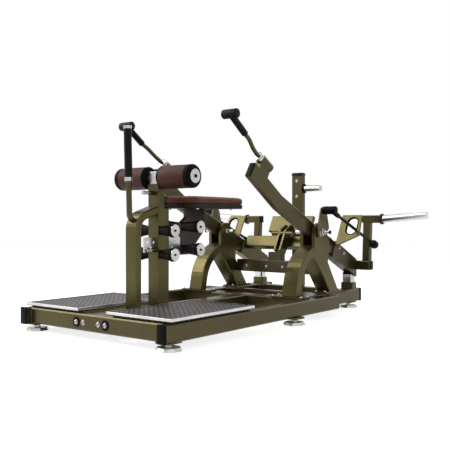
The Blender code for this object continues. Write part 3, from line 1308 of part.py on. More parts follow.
# Slide bar with two rows of staggered holes
work = bmesh.new()
bar_end = REAR_SHIN_BACK - SLIDE_BAR_SHORT
holes = []
count = int((bar_end - SLIDE_BAR_FRONT - 0.030) / SLIDE_BAR_HOLE_PITCH)
for n in range(count):
    row = SLIDE_BAR_BOTTOM + SLIDE_BAR_HEIGHT * (0.32 if n % 2 else 0.68)
    spot = SLIDE_BAR_FRONT + 0.022 + n * SLIDE_BAR_HOLE_PITCH
    holes.append(circle((spot, row), SLIDE_BAR_HOLE_RADIUS, 12))
bar = rectangle((SLIDE_BAR_FRONT, SLIDE_BAR_BOTTOM), (bar_end, bar_top))
add_plate(work, [bar] + holes, SLIDE_BAR_THICKNESS, SIDE_PLANE)
finish("shin_slide_bar", work, STEEL)

# Bracket in the middle plane behind the slide bar, which carries the rear axles
upper, lower_axis = REAR_SHIN_HEIGHTS
front = bar_end + SEAT_GAP
bracket_top = SEAT_BOARD_BOTTOM - SLIDE_GAP
back = REAR_SHIN_BACK
outline = [(front, lower_axis - 0.020), (front + 0.010, lower_axis - 0.030),
           (back + 0.045, lower_axis - 0.030), (back + 0.125, lower_axis + 0.050),
           (back + 0.165, lower_axis + 0.088), (back + 0.180, bracket_top),
           (back + 0.019, bracket_top), (back + 0.019, upper + 0.050), (front, upper + 0.020)]
work = bmesh.new()
add_plate(work, [outline], BRACKET_THICKNESS, SIDE_PLANE, 0.0, 0.002)
bracket = finish("roller_bracket", work, DARK)
for height in REAR_SHIN_HEIGHTS:
    work = bmesh.new()
    turn = Matrix.Translation((0.0, REAR_SHIN_BACK, height)) @ Matrix.Rotation(math.pi / 2, 4, 'Y')
    add_turned(work, shin_axle_profile(0.0), turn, 16)
    weld(bracket, work)

pairs = (("front", POST_MIDDLE, FRONT_SHIN_HEIGHTS, post_hub + 0.0045 + RUNNING_GAP),
         ("rear", REAR_SHIN_BACK, REAR_SHIN_HEIGHTS, bracket_half + RUNNING_GAP))
for pair, back, heights, start in pairs:
    for level, height in zip(("upper", "lower"), heights):
        for name, side in sides():
            turn = Matrix.Translation((0.0, back, height)) @ Matrix.Rotation(side * math.pi / 2, 4, 'Y')
            work = bmesh.new()
            add_turned(work, shin_roller_profile(start), turn, 18)
            middle = side * (start + SHIN_HALF_LENGTH) / 2
            finish("shin_roller_" + pair + "_" + level + "_" + name, work, RUBBER, (middle, back, height))
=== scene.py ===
import math

import bpy
import numpy as np
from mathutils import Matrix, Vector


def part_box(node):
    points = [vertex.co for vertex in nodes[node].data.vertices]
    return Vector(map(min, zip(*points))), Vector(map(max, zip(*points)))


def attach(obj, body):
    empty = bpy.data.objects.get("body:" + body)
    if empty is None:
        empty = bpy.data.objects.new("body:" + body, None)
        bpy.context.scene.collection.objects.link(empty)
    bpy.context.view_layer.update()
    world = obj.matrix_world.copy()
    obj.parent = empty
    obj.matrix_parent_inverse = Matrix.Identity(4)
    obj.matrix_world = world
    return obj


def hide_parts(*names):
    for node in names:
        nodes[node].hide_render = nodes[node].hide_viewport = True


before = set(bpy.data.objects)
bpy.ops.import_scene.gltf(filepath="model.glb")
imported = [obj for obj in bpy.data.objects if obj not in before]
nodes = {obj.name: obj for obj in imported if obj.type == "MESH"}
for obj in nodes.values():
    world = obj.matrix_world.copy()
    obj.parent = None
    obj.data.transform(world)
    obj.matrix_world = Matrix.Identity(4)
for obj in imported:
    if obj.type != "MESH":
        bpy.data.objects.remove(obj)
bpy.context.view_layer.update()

scene = bpy.context.scene
scene.view_settings.view_transform = 'Standard'


# Camera and lamps: one camera low in front of the machine's left corner, a broad soft key lamp high
# on its other side, a weaker fill lamp near the camera and one behind.

def put(name, data):
    """A new object in the scene."""
    made = bpy.data.objects.new(name, data)
    scene.collection.objects.link(made)
    return made


def lamp(name, place, target, width, height, power, colour):
    """A soft rectangular lamp at place, its face turned towards target."""
    light = bpy.data.lights.new(name, 'AREA')
    light.shape = 'RECTANGLE'
    light.size = width
    light.size_y = height
    light.energy = power
    light.color = colour
    holder = put(name, light)
    line = np.array(target, float) - np.array(place, float)
    holder.location = place
    holder.rotation_euler = (math.atan2(math.hypot(line[0], line[1]), -line[2]), 0.0,
                             math.atan2(line[1], line[0]) - math.pi / 2)


view = bpy.data.cameras.new("photo_camera")
view.sensor_width = 36.0
view.lens = 54.48
view.shift_y = -0.0089
camera = put("photo_camera", view)
camera.location = (2.442, -3.0959, 0.555)
camera.rotation_euler = (math.radians(90), 0.0, math.radians(38.05))
scene.camera = camera

lamp("key_lamp", (-3.0, -2.1, 3.3), (0.1, 0.1, 0.5), 2.6, 3.0, 135.0, (1.0, 0.98, 0.94))
lamp("fill_lamp", (3.4, -2.4, 2.2), (0.0, -0.1, 0.5), 2.4, 2.0, 9.0, (0.95, 0.97, 1.0))
lamp("rear_lamp", (0.4, 3.4, 2.4), (0.0, 0.4, 0.5), 2.4, 1.6, 18.0, (1.0, 1.0, 1.0))

surroundings = bpy.data.worlds.new("studio")
surroundings.use_nodes = True
scene.world = surroundings


def lay(tree, kind, settings=None, **inputs):
    """Adds a shader node. An input is named, or i and its number. Given a socket, or a node for its
    first one, it is linked to that, and anything else is its value."""
    made = tree.nodes.new("ShaderNode" + kind)
    for name, value in (settings or {}).items():
        setattr(made, name, value)
    for name, value in inputs.items():
        numbered = name[0] == "i" and name[1:].isdigit()
        socket = made.inputs[int(name[1:]) if numbered else name.replace("_", " ")]
        if isinstance(value, bpy.types.Node):
            value = value.outputs[0]
        if isinstance(value, bpy.types.NodeSocket):
            tree.links.new(value, socket)
        else:
            socket.default_value = value
    return made


def maths(tree, operation, *values, **settings):
    """A Math node on up to three values."""
    inputs = {f"i{number}": value for number, value in enumerate(values)}
    return lay(tree, "Math", {"operation": operation, **settings}, **inputs)


def remap(tree, value, low=0.0, high=1.0, to_low=0.0, to_high=1.0, **settings):
    """A Map Range node: low to high becomes to_low to to_high, and stays inside them."""
    return lay(tree, "MapRange", settings, Value=value, From_Min=low, From_Max=high, To_Min=to_low,
               To_Max=to_high)


def seen_directly(tree):
    """The Light Path node, and 1 on rays from the camera or off a mirror."""
    rays = lay(tree, "LightPath")
    return rays, maths(tree, 'MAXIMUM', rays.outputs["Is Camera Ray"], rays.outputs["Is Glossy Ray"])


sky = surroundings.node_tree
sky.nodes.clear()
rays, seen = seen_directly(sky)
seen = maths(sky, 'MAXIMUM', seen, rays.outputs["Is Transmission Ray"])
strength = remap(sky, seen, to_low=0.22)
sky_light = lay(sky, "Background", Color=(1.0, 1.0, 1.0, 1.0), Strength=strength)
lay(sky, "OutputWorld", Surface=sky_light)


# The floor: a smooth white studio sheet, laid flat under the six feet. It shows as white and
# keeps the machine's faint shadow.

def mesh_object(name, corners, faces, materials, tints=None, smooth=35.0):
    """A mesh object at the origin, from corner points and faces, smooth up to an angle."""
    mesh = bpy.data.meshes.new(name)
    mesh.from_pydata(corners.tolist(), [], faces)
    for surface in materials:
        mesh.materials.append(surface)
    if tints is not None:
        mesh.polygons.foreach_set("material_index", np.asarray(tints, np.int32))
    mesh.shade_smooth()
    mesh.set_sharp_from_angle(angle=math.radians(smooth))
    return put(name, mesh)


def new_material(name):
    """An empty node material, its tree and its Object coordinates."""
    made = bpy.data.materials.new(name)
    made.use_nodes = True
    made.node_tree.nodes.clear()
    return made, made.node_tree, lay(made.node_tree, "TexCoord").outputs["Object"]


def noise(tree, place, scale, detail, **more):
    """A Noise Texture node."""
    return lay(tree, "TexNoise", Vector=place, Scale=scale, Detail=detail, **more)


def mix(tree, share, first, second):
    """A Mix node for colours: first where share is 0, second where it is 1."""
    return lay(tree, "MixRGB", Fac=share, Color1=first, Color2=second)


white_sheet, tree, place = new_material("white_floor_sheet")
seen = seen_directly(tree)[1]
paper = mix(tree, noise(tree, place, 3.0, 4.0), (0.84, 0.84, 0.84, 1.0), (0.88, 0.88, 0.88, 1.0))
matt = lay(tree, "BsdfDiffuse", Color=paper)
glow = lay(tree, "Emission", Color=(1.0, 1.0, 1.0, 1.0), Strength=0.8)
lit = lay(tree, "AddShader", i0=matt, i1=glow)
choice = lay(tree, "MixShader", Fac=seen, i1=matt, i2=lit)
lay(tree, "OutputMaterial", Surface=choice)
reach = 14.0
sheet = mesh_object("floor_sheet", reach * np.array([[-1, -1, 0], [1, -1, 0], [1, 1, 0], [-1, 1, 0]]),
                    [(0, 1, 2, 3)], [white_sheet])


# Base frame: rectangular steel tubes, cut, welded all round and powder-coated in a metallic
# olive. Black plastic plugs close the side rails' front ends, and bright bolts cross the front tube.

def group(name, inputs, outputs):
    """An empty shader node group, and its input and output nodes. A socket is given as its kind, or
    as its value where it is a number."""
    made = bpy.data.node_groups.new(name, 'ShaderNodeTree')
    for way, sockets in (('INPUT', inputs), ('OUTPUT', outputs)):
        for label, kind in sockets.items():
            number = isinstance(kind, float)
            socket = made.interface.new_socket(
                label, in_out=way, socket_type='NodeSocket' + ('Float' if number else kind))
            if number:
                socket.default_value = kind
    return made, made.nodes.new("NodeGroupInput"), made.nodes.new("NodeGroupOutput")


def give(tree, result, **values):
    """Joins nodes to the outputs of a group."""
    for label, value in values.items():
        tree.links.new(value.outputs[0], result.inputs[label])


def placed(tree, made, **inputs):
    """A node group placed in a material, with its own values."""
    return lay(tree, "Group", {"node_tree": made}, **inputs)


# Wear and painted highlight along edges: where the rounded normal of a Bevel node leaves the face's own
# normal, broken up by noise, corners show lighter, partly as rubbed wear and partly as a painted highlight.
edge_wear_and_highlight, given, result = group("edge_wear_and_highlight", {"Vector": 'Vector', "Radius": 0.004, "Amount": 1.0},
                                 {"Mask": 'Float'})
rounded = lay(edge_wear_and_highlight, "Bevel", {"samples": 4}, Radius=given.outputs["Radius"])
flat = lay(edge_wear_and_highlight, "NewGeometry")
match = lay(edge_wear_and_highlight, "VectorMath", {"operation": 'DOT_PRODUCT'}, i0=rounded, i1=flat.outputs["Normal"])
apart = remap(edge_wear_and_highlight, match.outputs["Value"], 0.985, 0.82)
broken = remap(edge_wear_and_highlight, noise(edge_wear_and_highlight, given, 38.0, 5.0, Roughness=0.65), 0.42, 0.66)
both = maths(edge_wear_and_highlight, 'MULTIPLY', apart, broken)
give(edge_wear_and_highlight, result, Mask=maths(edge_wear_and_highlight, 'MULTIPLY', both, given.outputs["Amount"], use_clamp=True))

# Two shades of one finish, drifting into each other over tens of centimetres, with fine specks.
drift, given, result = group(
    "shade_drift", {"Vector": 'Vector', "First": 'Color', "Second": 'Color', "Scale": 2.2},
    {"Color": 'Color', "Value": 'Float'})
even = remap(drift, noise(drift, given, given.outputs["Scale"], 3.0), 0.35, 0.65)
speck_shade = remap(drift, noise(drift, given, 420.0, 2.0), 0.3, 0.7, 0.9, 1.12)
mixed = mix(drift, even, given.outputs["First"], given.outputs["Second"])
shaded = lay(drift, "VectorMath", {"operation": 'SCALE'}, i0=mixed, Scale=speck_shade)
give(drift, result, Color=shaded, Value=even)


def drifting(tree, place, first, second, scale=2.2):
    """The drifting shades, placed in a material."""
    return placed(tree, drift, Vector=place, First=first, Second=second, Scale=scale)


def principled(tree, height, strength, distance, **inputs):
    """A material's one Principled shader over a bump, joined to the material's output."""
    bump = lay(tree, "Bump", Height=height, Strength=strength, Distance=distance)
    lay(tree, "OutputMaterial", Surface=lay(tree, "BsdfPrincipled", Normal=bump, **inputs))


def colour(red, green, blue):
    """A colour given as the eye reads it, 0 to 255, turned into light."""
    share = np.array([red, green, blue]) / 255.0
    light = np.where(share <= 0.04045, share / 12.92, ((share + 0.055) / 1.055) ** 2.4)
    return (*[float(value) for value in light], 1.0)


def shaded_by(tone, share):
    """The tone made darker or lighter by a share."""
    return (*[min(1.0, value * share) for value in tone[:3]], 1.0)


def powder_coat(name, first, second, worn_and_highlit):
    """Metallic powder coat: two drifting shades, orange-peel bump and lighter edges, partly rubbed wear and
    partly painted highlight.
    """
    made, tree, place = new_material(name)
    # Edges painted lighter: partly rubbed wear, partly painted highlight.
    rubbed_and_highlit_edge = placed(tree, edge_wear_and_highlight, Vector=place, Radius=0.0035, Amount=0.55)
    tone = mix(tree, rubbed_and_highlit_edge, drifting(tree, place, first, second), worn_and_highlit)
    rough = remap(tree, noise(tree, place, 9.0, 5.0), 0.3, 0.7, 0.26, 0.36)
    principled(tree, noise(tree, place, 330.0, 2.0), 0.16, 0.0006, Base_Color=tone, Metallic=0.72,
               Roughness=rough, Specular_IOR_Level=0.25, Specular_Tint=(0.82, 0.82, 0.83, 1.0))
    return made


def dress(surface, *names):
    """Gives the named CAD nodes their finish."""
    for name in names:
        mesh = nodes[name].data
        if not mesh.materials:
            mesh.materials.append(surface)
        nodes[name].material_slots[0].material = surface


def circle(steps):
    """Angles once round, the last one short of the first."""
    return np.linspace(0.0, 2 * math.pi, steps, endpoint=False)


def quarter(steps):
    """Angles over a quarter turn."""
    return np.linspace(0.0, math.pi / 2, steps)


def unit(rows):
    """Each row made 1 long."""
    return rows / np.maximum(np.linalg.norm(rows, axis=1, keepdims=True), 1e-9)


def shell(points, ring=False, marks=0):
    """Faces over points[row, column]. Columns close on themselves. Rows close too where ring is
    true, and otherwise a fan about its middle point closes each end. Faces are turned outwards by
    the sign of the volume, the sum of a . (b x c) / 6 over the triangles. Marks say which of the
    piece's materials a row of faces has, or all rows."""
    rows, columns = points.shape[:2]
    number = np.arange(rows * columns).reshape(rows, columns)
    lower = number if ring else number[:-1]
    upper = np.roll(number, -1, 0) if ring else number[1:]
    quads = np.stack([lower, np.roll(lower, -1, 1), np.roll(upper, -1, 1), upper], -1).reshape(-1, 4)
    marks = np.broadcast_to(marks, len(lower))
    tints = np.repeat(marks, columns)
    corners = points.reshape(-1, 3)
    fans = np.zeros((0, 3), int)
    if not ring:
        first, last, centre = number[0], number[-1], len(corners)
        corners = np.concatenate([corners, points[[0, -1]].mean(axis=1)])
        fans = np.concatenate([np.stack([np.roll(first, -1), first, np.full(columns, centre)], -1),
                               np.stack([last, np.roll(last, -1), np.full(columns, centre + 1)], -1)])
        tints = np.concatenate([tints, np.full(columns, marks[0]), np.full(columns, marks[-1])])
    triangles = np.concatenate([quads[:, :3], quads[:, [0, 2, 3]], fans])
    a, b, c = (corners[triangles[:, n]] for n in range(3))
    if (a * np.cross(b, c)).sum() < 0:
        quads, fans = quads[:, ::-1], fans[:, ::-1]
    return corners, quads.tolist() + fans.tolist(), tints


def piece(name, shells, materials, body, smooth=35.0):
    """Joins shells into one named piece, gives it its finishes and lets it ride on a CAD body."""
    corners, faces, tints, start = [], [], [], 0
    for some_corners, some_faces, some_tints in shells:
        corners.append(some_corners)
        faces += [[index + start for index in face] for face in some_faces]
        tints.append(some_tints)
        start += len(some_corners)
    made = mesh_object(name, np.concatenate(corners), faces, materials, np.concatenate(tints), smooth)
    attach(made, body)
    return made


def black_piece(name, shells, body="base", smooth=35.0):
    """A piece of moulded black plastic."""
    return piece(name, shells, [black_plastic], body, smooth)


def bright_piece(name, shells, body="base"):
    """A piece of bright plated steel."""
    return piece(name, shells, [bright_steel], body)


def frame_along(direction):
    """Three unit vectors: two across the direction, and the direction."""
    out = np.array(direction, float)
    out /= np.linalg.norm(out)
    side = np.cross(out, (0.0, 0.0, 1.0)) if abs(out[2]) < 0.9 else np.cross(out, (0.0, 1.0, 0.0))
    side /= np.linalg.norm(side)
    return side, np.cross(out, side), out


def turned(profile, start, direction, steps=32, ring=False, marks=0, sides=None):
    """A profile of (distance, radius) turned about the line from start: start + direction x distance
    + radius x (side x cos t + up x sin t)."""
    side, up, out = frame_along(direction)
    profile = np.array(profile, float)
    turn = circle(steps)
    spokes = np.cos(turn)[:, None] * side + np.sin(turn)[:, None] * up
    if sides:
        half = math.pi / sides
        spokes = spokes / np.cos(turn % (2 * half) - half)[:, None] * math.cos(half)
    points = (np.array(start, float) + profile[:, :1, None] * out
              + profile[:, 1:, None] * spokes[None])
    return shell(points, ring, marks)


def rounded_rectangle(width, height, radius):
    """A rectangle's outline with its corners rounded, as points (across, up) about its middle."""
    turn = quarter(6)
    corner = np.stack([np.cos(turn), np.sin(turn)], -1) * radius
    corners = []
    for number, (right, top) in enumerate(((1, 1), (-1, 1), (-1, -1), (1, -1))):
        spin = number * math.pi / 2
        spun = corner @ np.array([[math.cos(spin), math.sin(spin)], [-math.sin(spin), math.cos(spin)]])
        corners.append(spun + (right * (width / 2 - radius), top * (height / 2 - radius)))
    return np.concatenate(corners)


def drawn_in(outline, amount):
    """The outline moved inwards by amount, along the mean normal of each point's two sides."""
    ahead = np.roll(outline, -1, 0) - outline
    length = np.linalg.norm(ahead, axis=1, keepdims=True)
    normal = np.stack([-ahead[:, 1], ahead[:, 0]], -1) / np.maximum(length, 1e-9)
    mean = normal + np.roll(normal, 1, 0)
    mean /= np.maximum((mean * mean).sum(1, keepdims=True) / 2, 0.5)
    return outline + mean * amount


def slab(outline, thickness, edge, origin, across, up):
    """A plate: its outline stands at origin in the across and up directions, and rises by
    thickness with a quarter-round edge towards the viewer's side."""
    across, up = np.array(across, float), np.array(up, float)
    out = np.cross(across, up)
    turn = quarter(4)
    inward = np.concatenate([[0.0], edge * (1 - np.cos(turn))])
    height = np.concatenate([[0.0], thickness - edge + edge * np.sin(turn)])
    rows = np.stack([drawn_in(outline, amount) for amount in inward])
    points = (np.array(origin, float) + rows[..., :1] * across + rows[..., 1:] * up
              + height[:, None, None] * out)
    return shell(points)


olive_coat = powder_coat("olive_powder_coat", colour(84, 78, 48), colour(82, 73, 52), colour(138, 130, 96))
dress(olive_coat, "base_frame")


def moulded_black(name, tone, roughness, grain_scale, grain_strength):
    """Moulded black plastic or rubber: a fine grained bump and a patchy sheen."""
    made, tree, place = new_material(name)
    shade = drifting(tree, place, tone, shaded_by(tone, 1.6), 11.0)
    # Edges painted lighter grey: partly rubbed wear, partly painted highlight.
    rubbed_and_highlit_edge = placed(tree, edge_wear_and_highlight, Vector=place, Radius=0.002, Amount=0.18)
    tint = mix(tree, rubbed_and_highlit_edge, shade, colour(70, 68, 66))
    cells = lay(tree, "TexVoronoi", Vector=place, Scale=grain_scale)
    rough = remap(tree, shade.outputs["Value"], to_low=roughness - 0.05, to_high=roughness + 0.07)
    principled(tree, cells, grain_strength, 0.0005, Base_Color=tint, Roughness=rough, Specular_IOR_Level=0.07)
    return made


black_plastic = moulded_black("moulded_black_plastic", colour(12, 11, 11), 0.44, 900.0, 0.14)

leftward, forward, upward = (1.0, 0.0, 0.0), (0.0, -1.0, 0.0), (0.0, 0.0, 1.0)
both_sides = (("right", -1), ("left", 1))
rail_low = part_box("base_frame")[0]
rail_across, rail_inside = 0.475, 0.4498
rail_bottom, rail_middle, rail_top = 0.038, 0.078, 0.118
plugs = []
for side in (-1, 1):
    plugs.append(slab(rounded_rectangle(0.0525, 0.086, 0.007), 0.006, 0.003,
                      (side * rail_across, rail_low[1] + 0.002, rail_middle), leftward, upward))
    plugs.append(slab(rounded_rectangle(0.036, 0.066, 0.004), 0.001, 0.0006,
                      (side * rail_across, rail_low[1] - 0.0038, rail_middle), leftward, upward))
black_piece("side_rail_plugs", plugs)


def plated_steel(name, tone, low_rough, high_rough, streak):
    """Bright plated steel: fine turned streaks in the bump and slightly cloudy roughness."""
    made, tree, place = new_material(name)
    lines = noise(tree, lay(tree, "Mapping", Vector=place, Scale=streak), 60.0, 4.0)
    rough = remap(tree, noise(tree, place, 14.0, 4.0), 0.3, 0.7, low_rough, high_rough)
    principled(tree, lines, 0.1, 0.0004, Metallic=1.0, Roughness=rough,
               Base_Color=drifting(tree, place, tone, shaded_by(tone, 0.86), 7.0))
    return made


bright_steel = plated_steel("bright_plated_steel", colour(194, 194, 193), 0.14, 0.26, (1.0, 12.0, 12.0))


def bolt_shells(places, direction, radius, marks=0):
    """Domed socket bolts on washers: the head's profile rises from the washer, rounds over and
    drops into the socket."""
    profile = radius * np.array([(0.0, 1.0), (0.16, 1.0), (0.22, 0.93), (0.22, 0.74), (0.5, 0.74),
                                 (0.68, 0.62), (0.76, 0.44), (0.74, 0.34), (0.36, 0.31)])
    return [turned(profile, place, direction, 24, marks=marks) for place in places]


front_face = rail_low[1] + 0.025
shells = [turned([(-0.0005, 0.025), (0.0016, 0.025), (0.0024, 0.0242), (0.0026, 0.012)],
                 (side * 0.1, front_face, rail_middle), forward, 32, marks=1) for side in (-1, 1)]
for across, depth, radius in ((0.052, 0.0, 0.0125), (0.1, 0.002, 0.0115)):
    places = [(side * across, front_face - depth, rail_middle) for side in (-1, 1)]
    shells += bolt_shells(places, forward, radius)
piece("front_tube_bolts", shells, [bright_steel, black_plastic], "base")


def round_bar(path, radii, across, up, sides):
    """A round bar: points = path + radius x (across x cos t + up x sin t)."""
    turn = circle(sides)[None, :, None]
    spokes = np.cos(turn) * across[:, None] + np.sin(turn) * up[:, None]
    return shell(path[:, None] + radii[:, None, None] * spokes)


def weld_shell(path, radius, ripple=0.18, pitch=0.004):
    """A weld bead: a half-sunk round bar along the path, its radius swelling and shrinking with
    each pass, radius x (1 + ripple x cos(2 pi distance / pitch))."""
    path = np.array(path, float)
    steps = np.linalg.norm(np.diff(path, axis=0), axis=1)
    distance = np.concatenate([[0.0], np.cumsum(steps)])
    count = min(260, max(8, int(distance[-1] / pitch * 4)))
    spot = np.linspace(0.0, distance[-1], count)
    line = np.stack([np.interp(spot, distance, path[:, n]) for n in range(3)], -1)
    ahead = unit(np.gradient(line, axis=0))
    helper = np.where(np.abs(ahead[:, 2:]) < 0.9, np.array([[0.0, 0.0, 1.0]]), np.array([[1.0, 0.0, 0.0]]))
    side = unit(np.cross(ahead, helper))
    size = radius * (1 + ripple * np.cos(2 * math.pi * spot / pitch))
    return round_bar(line, size, side, np.cross(side, ahead), 8)


welds = []
for side in (-1, 1):
    for depth in (0.025, 0.075):
        welds.append(weld_shell([(side * rail_inside, rail_low[1] + depth, rail_bottom + 0.004),
                                 (side * rail_inside, rail_low[1] + depth, rail_top - 0.004)], 0.0022))
    welds.append(weld_shell([(side * across, 0.1657, rail_top - 0.002) for across in (0.404, 0.446)], 0.0022))
piece("base_frame_welds", welds, [olive_coat], "base")


# Levelling feet: six eight-sided pads of zinc-plated steel, each on a threaded stem that is
# screwed into a plate under the frame and held by a lock nut.

zinc = plated_steel("zinc_plated_steel", colour(196, 196, 192), 0.24, 0.4, (4.0, 4.0, 4.0))
feet = [f"levelling_foot_{row}_{side}" for row in ("front", "middle", "rear") for side in ("right", "left")]
dress(zinc, *feet)


def middle(low, high):
    """The middle of a box."""
    return (np.array(low, float) + np.array(high, float)) / 2


nuts = []
nut_bottom = 0.0165
for foot in feet:
    low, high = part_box(foot)
    centre = (*middle(low, high)[:2], nut_bottom)
    nuts.append(turned([(0.0, 0.015), (0.0009, 0.0165), (0.007, 0.0165), (0.0079, 0.015), (0.0079, 0.01)],
                       centre, upward, 36, sides=6))
piece("foot_lock_nuts", nuts, [zinc], "base", 25.0)


# Platform: two steel decks with a raised lozenge tread for grip, dark grey, held down inside a
# bright angle trim that is mitred at the corners.

# The tread's groove mask paints shade into the grooves; its height gives the bump.
lozenge, given, result = group("lozenge_tread", {"Vector": 'Vector', "Pitch": 0.05},
                               {"Height": 'Float', "Groove": 'Float'})
axes = lay(lozenge, "SeparateXYZ", Vector=given)
bands = []
for kind, edge, far_edge, depth in (('ADD', 0.07, 0.17, 1.0), ('SUBTRACT', 0.06, 0.15, 0.9)):
    run = maths(lozenge, kind, axes.outputs["X"], axes.outputs["Y"])
    share = maths(lozenge, 'DIVIDE', run, given.outputs["Pitch"])
    bands.append(remap(lozenge, maths(lozenge, 'PINGPONG', share, 0.5), edge, far_edge, depth, 0.0))
deepest = maths(lozenge, 'MAXIMUM', *bands)
dots = lay(lozenge, "TexVoronoi", {"distance": 'MANHATTAN'}, Vector=given, Scale=95.0, Randomness=0.0)
stud = remap(lozenge, dots, 0.25, 0.75, 1.0, 0.55)
give(lozenge, result, Height=maths(lozenge, 'SUBTRACT', stud, deepest), Groove=deepest)

deck, tree, place = new_material("lozenge_deck")
tread_pattern = placed(tree, lozenge, Vector=place, Pitch=0.032)
steel_shade = drifting(tree, place, colour(112, 109, 108), colour(98, 96, 96), 6.0)
# The grooves are painted near black: painted shade in the tread's recesses.
groove_shaded_deck = mix(tree, tread_pattern.outputs["Groove"], steel_shade, colour(20, 18, 19))
scuff = remap(tree, noise(tree, place, 26.0, 8.0, Roughness=0.7), 0.55, 0.78, to_high=0.3)
principled(tree, tread_pattern, 0.55, 0.0016, Base_Color=mix(tree, scuff, groove_shaded_deck, colour(150, 148, 146)),
           Metallic=0.3, Roughness=0.52, Specular_IOR_Level=0.3)
dress(deck, "tread_right", "tread_left")

bright_trim = plated_steel("bright_angle_trim", colour(208, 205, 204), 0.24, 0.36, (2.0, 2.0, 30.0))
trim_section = np.array([(0.0, 0.004), (0.0006, 0.0036), (0.001, 0.0042), (0.001, 0.015), (0.0006, 0.0158),
                         (-0.0002, 0.0162), (-0.0042, 0.0162), (-0.005, 0.0157), (-0.0046, 0.015),
                         (-0.002, 0.015), (0.0, 0.0132)])
trim_bottom = 0.126 - 0.0006
for name in ("right", "left"):
    low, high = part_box("tread_" + name)
    corner_spots = ((low[0], low[1], -1, -1), (high[0], low[1], 1, -1), (high[0], high[1], 1, 1),
                    (low[0], high[1], -1, 1))
    points = np.stack([np.stack([x + out_x * trim_section[:, 0], y + out_y * trim_section[:, 0],
                                 trim_bottom + trim_section[:, 1]], -1)
                       for x, y, out_x, out_y in corner_spots])
    piece("tread_trim_" + name, [shell(points, True)], [bright_trim], "base", 25.0)


# Front column, main post and seat post: two upright steel tubes side by side and a flat one in front that
# bends back to them, all welded to the base and coated like it, in a lighter copy of its coat that is painted
# light.

# A lighter copy of the olive coat: painted light, standing in for the light that falls on these parts.
lit_olive_coat = powder_coat("lit_olive_powder_coat", colour(92, 86, 53), colour(86, 79, 51), colour(148, 139, 100))
dress(lit_olive_coat, "front_column", "main_post", "seat_post")
dress(olive_coat, "post_bush")
welds = []
for name in ("front_column", "main_post"):
    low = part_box(name)[0]
    half, front, depth = (0.035, -0.5726, 0.082) if name == "main_post" else (0.04, low[1], 0.04)
    corners = ((-half, front), (half, front), (half, front + depth), (-half, front + depth), (-half, front))
    welds.append(weld_shell([(x, y, rail_top + 0.0005) for x, y in corners], 0.0026))
piece("post_welds", welds, [lit_olive_coat], "base")


# Grab handle: a bent steel tube on the column's bend, with a long ribbed grip of black rubber
# between two plated collars and a black cap on its top.

def ribbed_rubber(name, axis, pitch):
    """A black rubber sleeve with fine ribs across its length and a pebbled surface."""
    made, tree, place = new_material(name)
    line = lay(tree, "VectorMath", {"operation": 'DOT_PRODUCT'}, i0=place, i1=axis)
    rib = maths(tree, 'PINGPONG', maths(tree, 'DIVIDE', line.outputs["Value"], pitch), 0.5)
    pebble = lay(tree, "TexVoronoi", Vector=place, Scale=700.0)
    principled(tree, maths(tree, 'MULTIPLY_ADD', pebble, 0.25, rib), 0.45, 0.001,
               Base_Color=drifting(tree, place, colour(12, 12, 12), colour(19, 18, 18), 16.0),
               Roughness=0.46, Specular_IOR_Level=0.12)
    return made


dress(olive_coat, "grab_handle")
dress(ribbed_rubber("ribbed_black_grip", upward, 0.0046), "grab_grip")
grip_low, grip_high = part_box("grab_grip")
grip_lean = math.radians(91.7)
grip_axis = np.array([0.0, math.cos(grip_lean), math.sin(grip_lean)])
grip_half = 0.118
grip_top = np.array([0.0, middle(grip_low, grip_high)[1] + grip_axis[1] * grip_half, grip_high[2]])


def collar_profile(length, radius):
    """A turned collar with rounded lips."""
    return [(0.0, radius - 0.0012), (0.001, radius), (length - 0.001, radius), (length, radius - 0.0012)]


shells = [turned(collar_profile(0.0205, 0.0202), grip_top - grip_axis * 0.2575, grip_axis, 32),
          turned(collar_profile(0.016, 0.0202), grip_top + grip_axis * 0.0008, grip_axis, 32)]
bright_piece("grab_handle_collars", shells)
cap = [(0.0, 0.0206), (0.003, 0.0206), (0.0055, 0.018), (0.0072, 0.011), (0.0078, 0.004)]
black_piece("grab_handle_cap", [turned(cap, grip_top + grip_axis * 0.017, grip_axis, 32)])


# Seat: a firm foam cushion upholstered in brown leathercloth, with a narrow nose between the
# thighs, stapled over a black-covered board that is bolted to the seat post.

board_cover, tree, place = new_material("black_board_cover")
fibre = noise(tree, lay(tree, "Mapping", Vector=place, Scale=(1.0, 6.0, 6.0)), 70.0, 6.0)
principled(tree, fibre, 0.35, 0.0008, Roughness=0.62, Specular_IOR_Level=0.3,
           Base_Color=drifting(tree, place, colour(40, 33, 29), colour(29, 24, 22), 9.0))
dress(board_cover, "seat_board")

# Leather grain: large soft creases over small rounded pebbles.
leather_grain, given, result = group("leather_grain", {"Vector": 'Vector', "Scale": 260.0},
                                     {"Height": 'Float', "Valley": 'Float'})
bent = noise(leather_grain, given, 60.0, 3.0)
shifted = lay(leather_grain, "VectorMath", {"operation": 'MULTIPLY_ADD'}, i0=bent.outputs["Color"],
              i1=(0.004, 0.004, 0.004), i2=given)
pebbles = lay(leather_grain, "TexVoronoi", {"feature": 'DISTANCE_TO_EDGE'}, Vector=shifted,
              Scale=given.outputs["Scale"])
soft = remap(leather_grain, pebbles, high=0.22, interpolation_type='SMOOTHSTEP')
creases = noise(leather_grain, given, 24.0, 5.0)
give(leather_grain, result, Height=maths(leather_grain, 'MULTIPLY_ADD', creases, 1.4, soft),
     Valley=maths(leather_grain, 'SUBTRACT', 1.0, soft))


